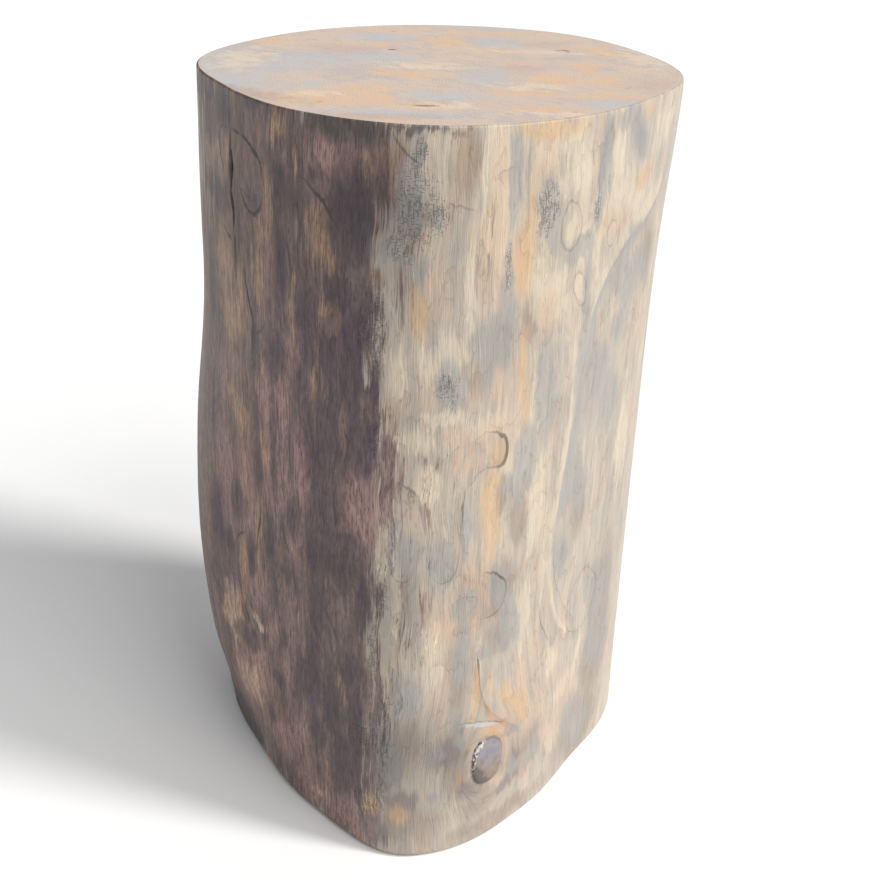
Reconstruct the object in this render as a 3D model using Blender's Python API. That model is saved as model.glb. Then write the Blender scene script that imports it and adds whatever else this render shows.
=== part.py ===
"""A barkless oak log, sawn flat at both ends and stood upright as a stool or side table.

It is one grown piece, so it is one closed solid. Its flank is a loft through five cross-sections,
each a closed curve through twelve radii, with the swellings and hollows of the real log added.
Metres, +Z up, the photographed front towards -Y, the origin under the middle of the log's box.
"""

from math import cos, exp, pi, radians, sin, sqrt

import bmesh
import bpy
from mathutils import Matrix, Vector

# Driving dimensions, in metres
HEIGHT = 0.480
FOOT_ROUNDING = 0.006
TOP_CHAMFER = 0.0015

# Radii of each cross-section, every 30 degrees anticlockwise seen from above. They start at the right,
# so the fourth is the back, the seventh the left and the tenth the front.
SECTIONS = (
    (0.000, (0.142, 0.160, 0.160, 0.158, 0.160, 0.169, 0.141, 0.130, 0.145, 0.172, 0.143, 0.127)),
    (0.120, (0.143, 0.156, 0.160, 0.158, 0.158, 0.168, 0.161, 0.142, 0.149, 0.170, 0.146, 0.132)),
    (0.240, (0.144, 0.155, 0.161, 0.159, 0.156, 0.162, 0.162, 0.147, 0.152, 0.167, 0.148, 0.138)),
    (0.360, (0.146, 0.156, 0.163, 0.160, 0.154, 0.153, 0.155, 0.147, 0.155, 0.165, 0.149, 0.141)),
    (0.480, (0.153, 0.156, 0.168, 0.162, 0.154, 0.148, 0.152, 0.146, 0.156, 0.161, 0.150, 0.144)),
)
DIRECTIONS = 12

# Swellings and hollows: compass angle, height, half-width in degrees, half-height and rise in metres
SWELLINGS = {
    "front_ridge": (264, 0.060, 8, 0.190, 0.004),
    "front_knot_collar": (286, 0.067, 13, 0.042, 0.005),
    "right_flute": (324, 0.260, 11, 0.130, -0.006),
    "left_waist": (176, 0.320, 26, 0.070, -0.004),
    "back_flute": (68, 0.230, 14, 0.150, -0.005),
    "back_knot_collar": (118, 0.300, 14, 0.050, 0.005),
}

# Knots, the cut roots of branches: compass angle, height, width and length up the grain
KNOTS = {
    "front_knot": (286, 0.067, 0.024, 0.038),
    "back_knot": (118, 0.300, 0.030, 0.044),
}
KNOT_RISE = 0.003
KNOT_DEPTH = 0.014
# A dome sunk so far shows only this share of its ellipsoid's width where it leaves the flank
KNOT_SHOWN = sqrt(1 - (1 - KNOT_RISE / KNOT_DEPTH) ** 2)

# Slits that dive into the flank as the wedge of an ellipsoid: compass angle, height, width round
# the log, length up the grain and depth
SLITS = {
    "drying_split": (216, 0.424, 0.0036, 0.078, 0.012),
    "saw_scar": (282.5, 0.102, 0.036, 0.0040, 0.0025),
}

# Mesh fineness
POINTS_AROUND = 96
RING_PITCH = 0.014
ROUNDING_RINGS = 4

WOOD_COLOUR = (0.60, 0.50, 0.40, 1.0)
WOOD_ROUGHNESS = 0.55


def clear_scene():
    for obj in list(bpy.data.objects):
        bpy.data.objects.remove(obj)


def smooth_between(before, low, high, after, share):
    """Catmull-Rom value between low and high."""
    slope_low = (high - before) / 2
    slope_high = (after - low) / 2
    square = share * share
    cube = square * share
    return (
        low * (2 * cube - 3 * square + 1)
        + slope_low * (cube - 2 * square + share)
        + high * (3 * square - 2 * cube)
        + slope_high * (cube - square)
    )


def section_radius(radii, angle):
    """Radius of one cross-section at an angle in degrees."""
    place = (angle % 360) / 360 * DIRECTIONS
    first = int(place)
    corners = [radii[(first + step) % DIRECTIONS] for step in (-1, 0, 1, 2)]
    return smooth_between(*corners, place - first)


def lofted_radius(angle, height):
    """Radius at a height, from the five sections."""
    values = [section_radius(radii, angle) for _, radii in SECTIONS]
    spacing = SECTIONS[1][0]
    place = min(height / spacing, len(SECTIONS) - 1 - 1e-9)
    first = int(place)
    before = values[max(first - 1, 0)]
    after = values[min(first + 2, len(values) - 1)]
    return smooth_between(before, values[first], values[first + 1], after, place - first)


def swelling(angle, height):
    """Sum of the swellings and hollows at a place on the flank."""
    total = 0.0
    for at_angle, at_height, half_width, half_height, rise in SWELLINGS.values():
        turn = (angle - at_angle + 180) % 360 - 180
        total += rise * exp(-((turn / half_width) ** 2) - ((height - at_height) / half_height) ** 2)
    return total


def flank_radius(angle, height):
    return lofted_radius(angle, height) + swelling(angle, height)


def ring_levels():
    """(height, inset) of every ring of points, from the foot to the top."""
    levels = []
    for step in range(ROUNDING_RINGS + 1):
        turn = pi / 2 * step / ROUNDING_RINGS
        levels.append((FOOT_ROUNDING * (1 - cos(turn)), FOOT_ROUNDING * (1 - sin(turn))))
    straight = HEIGHT - TOP_CHAMFER - FOOT_ROUNDING
    count = round(straight / RING_PITCH)
    for step in range(1, count + 1):
        levels.append((FOOT_ROUNDING + straight * step / count, 0.0))
    levels.append((HEIGHT, TOP_CHAMFER))
    return levels


def flank_point(angle, height, inset=0.0):
    radius = flank_radius(angle, height) - inset
    return Vector((radius * cos(radians(angle)), radius * sin(radians(angle)), height))


def log_mesh():
    """The log's closed surface: rings of points joined by quads, and a flat face at each end."""
    build = bmesh.new()
    rings = []
    for height, inset in ring_levels():
        angles = [360 * step / POINTS_AROUND for step in range(POINTS_AROUND)]
        rings.append([build.verts.new(flank_point(angle, height, inset)) for angle in angles])
    for lower, upper in zip(rings, rings[1:]):
        for here in range(POINTS_AROUND):
            beside = (here + 1) % POINTS_AROUND
            build.faces.new((lower[here], lower[beside], upper[beside], upper[here]))
    build.faces.new(list(reversed(rings[0])))
    build.faces.new(rings[-1])
    mesh = bpy.data.meshes.new("log")
    build.to_mesh(mesh)
    build.free()
    return mesh


def facing_out(angle, height):
    """A frame on the flank whose X runs round the log, Y up the grain and Z outwards."""
    turn = radians(angle)
    outwards = Vector((cos(turn), sin(turn), 0))
    around = Vector((-sin(turn), cos(turn), 0))
    upwards = Vector((0, 0, 1))
    axes = Matrix((around, upwards, outwards)).transposed().to_4x4()
    return Matrix.Translation(flank_point(angle, height)) @ axes


def ellipsoid(name, place, half_sizes, segments, rings):
    """A closed ellipsoid, with its place and size in its mesh."""
    build = bmesh.new()
    shape = place @ Matrix.Diagonal((*half_sizes, 1))
    bmesh.ops.create_uvsphere(build, u_segments=segments, v_segments=rings, radius=1, matrix=shape)
    bmesh.ops.recalc_face_normals(build, faces=build.faces)
    mesh = bpy.data.meshes.new(name)
    build.to_mesh(mesh)
    build.free()
    obj = bpy.data.objects.new(name, mesh)
    bpy.context.scene.collection.objects.link(obj)
    return obj


def hide(helper):
    helper.hide_render = True
    helper.display_type = "WIRE"


def combine(obj, helper, operation):
    modifier = obj.modifiers.new(helper.name, "BOOLEAN")
    modifier.operation = operation
    modifier.object = helper
    modifier.solver = "EXACT"
    hide(helper)


def centre_on_floor(objects, mesh):
    """Moves the log and its helpers so that the log's box stands centred on the origin."""
    xs = [vertex.co.x for vertex in mesh.vertices]
    ys = [vertex.co.y for vertex in mesh.vertices]
    shift = Vector((-(min(xs) + max(xs)) / 2, -(min(ys) + max(ys)) / 2, 0))
    for obj in objects:
        obj.data.transform(Matrix.Translation(shift))



def wood():
    material = bpy.data.materials.new("weathered_oak")
    material.use_nodes = True
    shader = material.node_tree.nodes["Principled BSDF"]
    shader.inputs["Base Color"].default_value = WOOD_COLOUR
    shader.inputs["Roughness"].default_value = WOOD_ROUGHNESS
    shader.inputs["Metallic"].default_value = 0.0
    return material


def main():
    clear_scene()
    log = bpy.data.objects.new("log", log_mesh())
    bpy.context.scene.collection.objects.link(log)
    log.data.materials.append(wood())
    log.data.shade_smooth()
    log.data.set_sharp_from_angle(angle=radians(40))

    domes = []
    for name, (angle, height, width, length) in KNOTS.items():
        place = facing_out(angle, height) @ Matrix.Translation((0, 0, KNOT_RISE - KNOT_DEPTH))
        half_sizes = (width / 2 / KNOT_SHOWN, length / 2 / KNOT_SHOWN, KNOT_DEPTH)
        domes.append(ellipsoid(name, place, half_sizes, 24, 16))
    cutters = []
    for name, (angle, height, width, length, depth) in SLITS.items():
        place = facing_out(angle, height)
        cutters.append(ellipsoid(name, place, (width / 2, length / 2, depth), 12, 12))
    centre_on_floor((log, *domes, *cutters), log.data)
    for dome in domes:
        combine(log, dome, "UNION")
    for cutter in cutters:
        combine(log, cutter, "DIFFERENCE")


main()
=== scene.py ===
# %% [markdown]
# # A barkless log, stood on end
#
# The real thing is one length of a trunk: sawn flat at both ends, peeled, left to weather and then
# given a thin finish, as a stump stool is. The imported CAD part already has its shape, its front
# ridge, its flute and its knots, so this script measures that part, lays a finer skin over the
# same shape, and then works on what CAD can't hold: relief along the grain, stains and gloss.

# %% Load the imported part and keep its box
import math

import bpy
import numpy as np
from mathutils import Matrix, Vector
from mathutils.bvhtree import BVHTree


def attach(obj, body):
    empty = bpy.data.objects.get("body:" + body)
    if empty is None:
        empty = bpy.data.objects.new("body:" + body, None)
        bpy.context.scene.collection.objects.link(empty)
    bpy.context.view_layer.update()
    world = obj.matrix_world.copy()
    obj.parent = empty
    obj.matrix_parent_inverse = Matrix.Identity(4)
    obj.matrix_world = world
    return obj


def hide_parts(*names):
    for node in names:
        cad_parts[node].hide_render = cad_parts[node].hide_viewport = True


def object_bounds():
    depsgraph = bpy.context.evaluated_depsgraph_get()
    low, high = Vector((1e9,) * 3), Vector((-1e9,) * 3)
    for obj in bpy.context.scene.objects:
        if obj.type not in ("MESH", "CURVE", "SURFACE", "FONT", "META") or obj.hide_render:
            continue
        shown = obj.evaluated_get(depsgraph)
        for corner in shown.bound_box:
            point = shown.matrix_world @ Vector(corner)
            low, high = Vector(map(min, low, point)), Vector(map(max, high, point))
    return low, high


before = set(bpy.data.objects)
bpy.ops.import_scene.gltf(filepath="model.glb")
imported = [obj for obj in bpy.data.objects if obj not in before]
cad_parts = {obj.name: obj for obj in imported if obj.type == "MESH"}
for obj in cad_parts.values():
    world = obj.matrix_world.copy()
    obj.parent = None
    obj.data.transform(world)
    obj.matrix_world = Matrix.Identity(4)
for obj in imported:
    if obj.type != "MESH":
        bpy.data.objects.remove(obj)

cad_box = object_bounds()
cad_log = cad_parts["log"]
LOG_HEIGHT = cad_box[1][2]
print("CAD box, metres:", [list(corner) for corner in cad_box])

# %% [markdown]
# ## The camera and the light
#
# The photograph looks down on the log at 25 degrees with a little roll, from just under a metre.
# Its shadow falls to the left and a little back, and the front ridge parts a bright flank from a
# dim one. Two soft lamps do that: a strong one from the right, and a wide weak one from the right
# front. A pale sky all round fills the shadow, and a big pale floor throws light up at the wood,
# which is how a small product studio works.

# %% Set the camera
CAMERA_PLACE = (0.01335, -0.92099, 0.655)
LOOKING_DOWN = 25.0
CAMERA_ROLL = 2.0
FOCAL_PIXELS = 1460.0
PICTURE_PIXELS = 880.0
SENSOR_WIDTH = 36.0

scene = bpy.context.scene
lens = bpy.data.cameras.new("studio_camera")
lens.sensor_width = SENSOR_WIDTH
lens.lens = FOCAL_PIXELS / PICTURE_PIXELS * SENSOR_WIDTH
lens.clip_start = 0.05
camera = bpy.data.objects.new("studio_camera", lens)
camera.rotation_mode = "XYZ"
camera.matrix_world = (
    Matrix.Translation(CAMERA_PLACE)
    @ Matrix.Rotation(math.radians(90.0 - LOOKING_DOWN), 4, "X")
    @ Matrix.Rotation(math.radians(CAMERA_ROLL), 4, "Z")
)
scene.collection.objects.link(camera)
scene.camera = camera
scene.view_settings.view_transform = "Standard"
print("lens, millimetres:", round(lens.lens, 2))

# %% Set the lamps and the sky
# Name, compass angle, height, strength, width and colour; the angles and widths are in degrees
LAMPS = (
    ("near_lamp", 344.5, 39.0, 2.7, 13.0, (1.0, 0.985, 0.96)),
    ("wide_lamp", 311.0, 38.0, 1.25, 40.0, (1.0, 0.985, 0.96)),
)
SKY_STRENGTH = 0.44

for name, compass, lamp_height, strength, width, colour in LAMPS:
    sun = bpy.data.lights.new(name, "SUN")
    sun.energy = strength
    sun.angle = math.radians(width)
    sun.color = colour
    lamp = bpy.data.objects.new(name, sun)
    level = math.cos(math.radians(lamp_height))
    lamp_from = Vector((
        math.cos(math.radians(compass)) * level,
        math.sin(math.radians(compass)) * level,
        math.sin(math.radians(lamp_height)),
    ))
    lamp.rotation_mode = "QUATERNION"
    lamp.rotation_quaternion = lamp_from.to_track_quat("Z", "Y")
    scene.collection.objects.link(lamp)
    print(name, "shines from", [round(value, 2) for value in lamp_from])

# What the camera sees past the floor's far edge is brighter than the light that the sky gives
BACKDROP_STRENGTH = 1.4
sky = bpy.data.worlds.new("pale_sky")
sky.use_nodes = True
sky_light = sky.node_tree.nodes["Background"]
sky_light.inputs["Color"].default_value = (0.97, 0.985, 1.0, 1.0)
sky_light.inputs["Strength"].default_value = SKY_STRENGTH
backdrop = sky.node_tree.nodes.new("ShaderNodeBackground")
backdrop.inputs["Strength"].default_value = BACKDROP_STRENGTH
seen = sky.node_tree.nodes.new("ShaderNodeLightPath").outputs["Is Camera Ray"]
chosen = sky.node_tree.nodes.new("ShaderNodeMixShader")
sky.node_tree.links.new(seen, chosen.inputs[0])
sky.node_tree.links.new(sky_light.outputs[0], chosen.inputs[1])
sky.node_tree.links.new(backdrop.outputs[0], chosen.inputs[2])
sky.node_tree.links.new(chosen.outputs[0], sky.node_tree.nodes["World Output"].inputs["Surface"])
scene.world = sky

# %% Lay the floor
FLOOR_HALF = 14.0
floor_mesh = bpy.data.meshes.new("floor")
floor_mesh.from_pydata(
    [(-FLOOR_HALF, -FLOOR_HALF, 0), (FLOOR_HALF, -FLOOR_HALF, 0),
     (FLOOR_HALF, FLOOR_HALF, 0), (-FLOOR_HALF, FLOOR_HALF, 0)],
    [], [(0, 1, 2, 3)],
)
floor = bpy.data.objects.new("floor", floor_mesh)
scene.collection.objects.link(floor)
floor_finish = bpy.data.materials.new("pale floor")
floor_finish.use_nodes = True
floor_shader = floor_finish.node_tree.nodes["Principled BSDF"]
floor_shader.inputs["Base Color"].default_value = (0.9, 0.9, 0.9, 1.0)
floor_shader.inputs["Roughness"].default_value = 0.9
floor_shader.inputs["Specular IOR Level"].default_value = 0.1
floor_mesh.materials.append(floor_finish)

# %% [markdown]
# ## Measure the trunk
#
# A trunk is close to a round bar, so a compass angle and a height name any point of its side.
# Rays shot outwards from the middle of the CAD part give its radius at even steps of both. The
# knots, the drying split and the saw scar are taken out of that reading and bridged over,
# because they are cut again later, finer than the CAD part has them.

# %% Read the radius of the CAD part
ANGLE_STEPS = 180
HEIGHT_STEPS = 48
LOWEST_READING = 0.010
HIGHEST_READING = 0.474
MEAN_RADIUS = 0.157
METRES_PER_DEGREE = MEAN_RADIUS * math.pi / 180.0

corners = [vertex.co.copy() for vertex in cad_log.data.vertices]
faces = [tuple(face.vertices) for face in cad_log.data.polygons]
cad_skin = BVHTree.FromPolygons(corners, faces)
reading_angles = np.arange(ANGLE_STEPS) * 360.0 / ANGLE_STEPS
reading_heights = np.linspace(LOWEST_READING, HIGHEST_READING, HEIGHT_STEPS)
readings = np.zeros((HEIGHT_STEPS, ANGLE_STEPS))
for row, height in enumerate(reading_heights):
    for column, angle in enumerate(reading_angles):
        outwards = Vector((math.cos(math.radians(angle)), math.sin(math.radians(angle)), 0.0))
        readings[row, column] = cad_skin.ray_cast(Vector((0.0, 0.0, height)), outwards)[3]
print("radius from", round(readings.min(), 4), "to", round(readings.max(), 4))


# %% Bridge the knots and cuts
def turn_from(angle, centre):
    """Degrees from centre to angle, the short way round."""
    return (angle - centre + 180.0) % 360.0 - 180.0


# Compass angle, and height, half width and half height in metres, of each place that is made again
FRONT_KNOT = (289.4, 0.0655, 0.0122, 0.0180)
BACK_KNOT = (115.4, 0.3000, 0.0150, 0.0220)
DRYING_SPLIT = (214.6, 0.4240, 0.0020, 0.0600)
SAW_SCAR = (286.9, 0.0958, 0.0155, 0.0020)
BRIDGE_MARGIN = 0.008
BRIDGING_ROUNDS = 400

angle_grid, height_grid = np.meshgrid(reading_angles, reading_heights)
bridged = np.zeros(readings.shape, bool)
for angle, height, half_width, half_height in (FRONT_KNOT, BACK_KNOT, DRYING_SPLIT, SAW_SCAR):
    across = np.abs(turn_from(angle_grid, angle)) * METRES_PER_DEGREE
    up = np.abs(height_grid - height)
    bridged |= (across < half_width + BRIDGE_MARGIN) & (up < half_height + 2 * BRIDGE_MARGIN)
for _ in range(BRIDGING_ROUNDS):
    padded = np.vstack([readings[:1], readings, readings[-1:]])
    neighbours = (
        np.roll(readings, 1, 1) + np.roll(readings, -1, 1) + padded[:-2] + padded[2:]
    ) / 4.0
    readings[bridged] = neighbours[bridged]
readings = (np.roll(readings, 1, 1) + 2.0 * readings + np.roll(readings, -1, 1)) / 4.0
print("bridged", int(bridged.sum()), "of", readings.size, "readings")

# %% [markdown]
# ## A finer skin
#
# The skin is a net of columns up the trunk and rows round it. The photograph's side gets closer
# columns than the back, and the rows close up at the knot and at the two rims, where the shape
# turns fastest. Between the CAD readings the radius runs on smooth curves, so no flat facets of
# the coarser part show through.


# %% Space the columns and the rows
def spaced(start, end, count, crowding):
    """count values from start to end, closer together where crowding is high."""
    fine = np.linspace(start, end, 4001)
    weight = crowding(fine)
    travelled = np.concatenate([[0.0], np.cumsum((weight[1:] + weight[:-1]) / 2.0)])
    return np.interp(np.linspace(0.0, travelled[-1], count), travelled, fine)


def hump(values, centre, half_width):
    """1 at the centre, falling off like a bell."""
    return np.exp(-(((values - centre) / half_width) ** 2))


def column_crowding(angle):
    """More columns on the photographed side, and most at the split, the ridge and the knot."""
    front = hump(angle, FRONT_ANGLE, 75.0)
    split = hump(angle, DRYING_SPLIT[0], 3.0)
    return 1.0 + 1.1 * front + 1.6 * split + 0.9 * hump(angle, RIDGE_ANGLE, 8.0)


def row_crowding(height):
    """More rows at the knot."""
    return 1.0 + 0.9 * hump(height, KNOT_ROWS_AT, 0.026)


FRONT_ANGLE = 268.0
RIDGE_ANGLE = 288.6
KNOT_ROWS_AT = 0.070
COLUMNS = 420
FLANK_ROWS = 186
RIM_ROWS = 5
FOOT_ROUNDING = 0.0060
TOP_ROUNDING = 0.0013

columns = spaced(0.0, 360.0, COLUMNS + 1, column_crowding)[:-1]
quarter = np.linspace(0.0, math.pi / 2.0, RIM_ROWS + 1)[:-1]
flank = spaced(FOOT_ROUNDING, LOG_HEIGHT - TOP_ROUNDING, FLANK_ROWS, row_crowding)
rows = np.concatenate([
    FOOT_ROUNDING * (1.0 - np.cos(quarter)),
    flank,
    LOG_HEIGHT - TOP_ROUNDING * (1.0 - np.sin(math.pi / 2.0 - quarter[::-1])),
])
insets = np.concatenate([
    FOOT_ROUNDING * (1.0 - np.sin(quarter)),
    np.zeros(FLANK_ROWS),
    TOP_ROUNDING * (1.0 - np.cos(math.pi / 2.0 - quarter[::-1])),
])
print("columns", len(columns), "rows", len(rows), "lowest", rows[0], "highest", rows[-1])


# %% Draw the radius on smooth curves
def on_curves(samples, places, closed):
    """Reads samples at fractional places along their last axis, on Catmull-Rom curves."""
    count = samples.shape[-1]
    first = np.floor(places).astype(int)
    part = places - first
    picks = [first - 1, first, first + 1, first + 2]
    picks = [pick % count if closed else np.clip(pick, 0, count - 1) for pick in picks]
    before, here, after, beyond = (samples[..., pick] for pick in picks)
    bend = 2.0 * before - 5.0 * here + 4.0 * after - beyond
    twist = 3.0 * (here - after) + beyond - before
    return here + 0.5 * part * (after - before + part * (bend + part * twist))


column_places = columns * ANGLE_STEPS / 360.0
row_places = (rows - LOWEST_READING) / (HIGHEST_READING - LOWEST_READING) * (HEIGHT_STEPS - 1)
row_places = np.clip(row_places, 0.0, HEIGHT_STEPS - 1.0)
radius = on_curves(readings, column_places, closed=True)
radius = on_curves(radius.T, row_places, closed=False).T
ANGLE, HEIGHT = np.meshgrid(columns, rows)
print("skin points", radius.size)

# %% [markdown]
# ## Knots, the drying split and the saw scar
#
# A knot is the foot of a branch. It stands a little proud, harder than the wood round it, and a
# fine gap runs round it where it shrank. The split opened as the trunk dried: a narrow V, widest
# at one pit. The scar is where a saw slipped. All of them are changes of radius, so one net
# carries them and the log stays one closed skin.


# %% Cut the knots
def across_from(angle):
    """Metres round the trunk from a compass angle to each skin point."""
    return turn_from(ANGLE, angle) * METRES_PER_DEGREE


def reach_from(place, roundness=2.3):
    """0 at the middle of an oval, 1 on its outline."""
    angle, height, half_width, half_height = place
    sideways = np.abs(across_from(angle) / half_width) ** roundness
    upwards = np.abs((HEIGHT - height) / half_height) ** roundness
    return (sideways + upwards) ** (1.0 / roundness)


def ease(low, high, values):
    """0 below low, 1 above high, a smooth step between."""
    part = np.clip((values - low) / (high - low), 0.0, 1.0)
    return part * part * (3.0 - 2.0 * part)


KNOT_RISE = 0.0012
KNOT_GAP = 0.0014
FAR_AWAY = 9.0
relief = np.zeros(radius.shape)
knot_reach = np.full(radius.shape, FAR_AWAY)
knot_side = np.zeros(radius.shape)
knot_up = np.zeros(radius.shape)
for knot in (FRONT_KNOT, BACK_KNOT):
    reach = reach_from(knot)
    nearer = reach < knot_reach
    knot_side = np.where(nearer, across_from(knot[0]) / knot[2], knot_side)
    knot_up = np.where(nearer, (HEIGHT - knot[1]) / knot[3], knot_up)
    disc = (1.0 - ease(0.90, 1.02, reach)) * (1.0 - 0.4 * reach ** 2)
    relief += KNOT_RISE * disc - KNOT_GAP * hump(reach, 1.03, 0.075)
    knot_reach = np.minimum(knot_reach, reach)
print("knot relief from", round(relief.min(), 5), "to", round(relief.max(), 5))


# %% Swell the skin where the photographed outline is fuller
# Compass angle, and height, half width, half height and rise in metres
angle, height, half_width, half_height, rise = (194.0, 0.066, 0.070, 0.034, 0.0034)
relief += rise * hump(across_from(angle), 0.0, half_width) * hump(HEIGHT, height, half_height)
print("fullest swelling, millimetres:", round(relief.max() * 1000.0, 1))


# %% Follow a line over the skin
def rounded(path):
    """Cuts the corners off a line of corners, twice over."""
    for _ in range(2):
        cut = [path[0]]
        for start, end in zip(path[:-1], path[1:]):
            for part in (0.25, 0.75):
                cut.append(tuple(a + part * (b - a) for a, b in zip(start, end)))
        path = cut + [path[-1]]
    return path


def follow(path):
    """Signed metres from a line of corners, positive on its right as it is walked, and how bold
    the line is at its nearest place (the third number of the corners)."""
    path = rounded(path)
    middle = sum(corner[0] for corner in path) / len(path)
    here_x = across_from(middle)
    nearest = np.full(radius.shape, FAR_AWAY)
    signed = np.full(radius.shape, FAR_AWAY)
    bold = np.zeros(radius.shape)
    for (angle_a, height_a, bold_a), (angle_b, height_b, bold_b) in zip(path[:-1], path[1:]):
        ax, bx = ((angle - middle) * METRES_PER_DEGREE for angle in (angle_a, angle_b))
        step_x, step_y = bx - ax, height_b - height_a
        from_x, from_y = here_x - ax, HEIGHT - height_a
        part = np.clip((from_x * step_x + from_y * step_y) / (step_x ** 2 + step_y ** 2), 0.0, 1.0)
        gap = np.hypot(from_x - part * step_x, from_y - part * step_y)
        side = np.sign(from_x * step_y - from_y * step_x)
        closer = gap < nearest
        nearest = np.where(closer, gap, nearest)
        signed = np.where(closer, side * gap, signed)
        bold = np.where(closer, bold_a + part * (bold_b - bold_a), bold)
    return signed, bold


# %% Sharpen the edge of the right flute
# Compass angle, height and boldness of each corner, from the rim down
FLUTE_EDGE = (
    (344.0, .418, 1), (337.0, .405, 1), (330.0, .400, 1), (322.0, .386, 1), (316.0, .370, 1),
    (312.5, .342, 1), (311.0, .305, 1), (308.8, .268, 1), (306.8, .232, 1), (306.2, .200, 1),
    (308.0, .172, 1), (312.0, .148, 1), (318.0, .132, 1),
)
FLUTE_STEP = 0.0020
FLUTE_CREST = 0.0007
beside_flute = -follow(FLUTE_EDGE)[0]
flute_fade = 1.0 - ease(0.012, 0.034, np.abs(beside_flute))
relief -= FLUTE_STEP * ease(0.0005, 0.0075, beside_flute) * flute_fade
relief += FLUTE_CREST * hump(beside_flute, -0.0005, 0.004)
print("points near the flute's edge:", int((np.abs(beside_flute) < 0.004).sum()))


# %% Open the split
def wander(values, seed, wave, count=6):
    """A smooth random line, about -1 to 1, whose shortest wave is wave long."""
    dice = np.random.default_rng(seed)
    total = np.zeros_like(values)
    for step in range(count):
        length = wave * (1.0 + step)
        total += np.sin(values / length * 2.0 * math.pi + dice.uniform(0.0, 6.28)) / (1 + step % 3)
    return total / count * 1.6


SPLIT_DEPTH = 0.0085
SPLIT_HALF_WIDTH = 0.0017
NARROWEST = 0.0004
# How far the split strays to the right of its own angle at each height, in metres
SPLIT_HEIGHTS = (0.370, 0.390, 0.409, 0.419, 0.4355, 0.456)
SPLIT_SHIFTS = (0.0030, 0.0036, 0.0026, -0.0010, 0.0, -0.0004)
SPLIT_SHAKE = 0.0005
# Between which heights it opens from below, closes above, and where its dark edges begin and end
SPLIT_OPENS = (0.388, 0.412)
SPLIT_CLOSES = (0.448, 0.460)
SHADE_BEGINS = (0.365, 0.395)
SHADE_ENDS = (0.452, 0.470)
SHADE_HALF_WIDTH = 0.0055
PIT_HEIGHT = 0.4355
PIT_HALF_HEIGHT = 0.0060

split_angle, split_height, _, split_half = DRYING_SPLIT
split_course = np.interp(HEIGHT, SPLIT_HEIGHTS, SPLIT_SHIFTS)
split_line = across_from(split_angle) - split_course - SPLIT_SHAKE * wander(HEIGHT, 5, 0.022)
along = (HEIGHT - split_height) / split_half
opening = np.clip(1.0 - np.abs(along) ** 3, 0.0, 1.0) ** 0.5
opening *= 1.0 - 0.75 * ease(*SPLIT_CLOSES, HEIGHT)
opening *= 0.25 + 0.75 * ease(*SPLIT_OPENS, HEIGHT)
pit = hump(HEIGHT, PIT_HEIGHT, PIT_HALF_HEIGHT)
uneven_width = 1.0 + 0.4 * wander(HEIGHT, 6, 0.018)
wide = SPLIT_HALF_WIDTH * (0.55 * opening * uneven_width + 1.3 * pit)
split_reach = np.abs(split_line) / np.maximum(wide, NARROWEST)
split_shade = hump(split_line, 0.0, SHADE_HALF_WIDTH) * ease(*SHADE_BEGINS, HEIGHT)
split_shade *= 1.0 - ease(*SHADE_ENDS, HEIGHT)
split_depth = SPLIT_DEPTH * np.clip(0.5 * opening + 0.7 * pit, 0.0, 1.0)
relief -= split_depth * np.clip(1.25 - split_reach, 0.0, 1.0)
print("split, deepest in millimetres:", round(split_depth.max() * 1000.0, 1))

# %% Cut the scar
SCAR_DEPTH = 0.0009
SCAR_FALL = 0.30
scar_angle, scar_height, scar_half_width, scar_half_height = SAW_SCAR
scar_up = HEIGHT - scar_height + SCAR_FALL * across_from(scar_angle)
scar_reach = np.hypot(across_from(scar_angle) / scar_half_width, scar_up / scar_half_height)
relief -= SCAR_DEPTH * (1.0 - ease(0.3, 1.1, scar_reach))
print("deepest cut, millimetres:", round(-relief.min() * 1000.0, 1))

# %% [markdown]
# ## Grain that flows round the knots
#
# Fibres run straight up a trunk until they meet a knot, and then they part and close again behind
# it, as water does round a stone. The skin carries its own wood coordinates: how far round the
# trunk a fibre started, and its height. Every pattern later reads these, so streaks, furrows and
# stains all bend round the knots together, and meet without a seam at the back.

# %% Work out the wood coordinates
FLOW_REACH = 1.35
# Below this height the fibres of the right flank lean, and the change is soft over a little height
LEAN_BELOW = 0.140
LEAN_SLOPE = 0.26
LEAN_SOFT = 0.02
fibre_shift = np.zeros(radius.shape)
for knot in (FRONT_KNOT, BACK_KNOT):
    angle, height, half_width, half_height = knot
    across = across_from(angle)
    squared = (across / half_width) ** 2 + ((HEIGHT - height) / half_height) ** 2
    parting = np.minimum(1.0, FLOW_REACH ** 2 / np.maximum(squared, 0.01))
    fibre_shift -= across * parting * (1.0 - ease(3.0, 6.0, np.sqrt(squared)))
leaning = LEAN_SLOPE * LEAN_SOFT * np.log1p(np.exp((LEAN_BELOW - HEIGHT) / LEAN_SOFT))
fibre_shift -= leaning * ease(280.0, 316.0, ANGLE) * (1.0 - ease(325.0, 355.0, ANGLE))
sway = 0.0016 * wander(HEIGHT, 11, 0.05)
fibre_shift += sway + 0.0010 * wander(HEIGHT + 0.3 * ANGLE / 360, 12, 0.03)
FIBRE_ANGLE = np.radians(ANGLE + fibre_shift / METRES_PER_DEGREE)
grain = np.stack([
    MEAN_RADIUS * np.cos(FIBRE_ANGLE), MEAN_RADIUS * np.sin(FIBRE_ANGLE), HEIGHT,
], axis=-1)
print("most a fibre is pushed aside, millimetres:", round(np.abs(fibre_shift).max() * 1000, 1))

# %% [markdown]
# ## Sew the net together
#
# The flank's quads come first, then rings that close the sole and the sawn top down to a centre
# point each. The wood coordinates and the other fields ride on the points as attributes.

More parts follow.
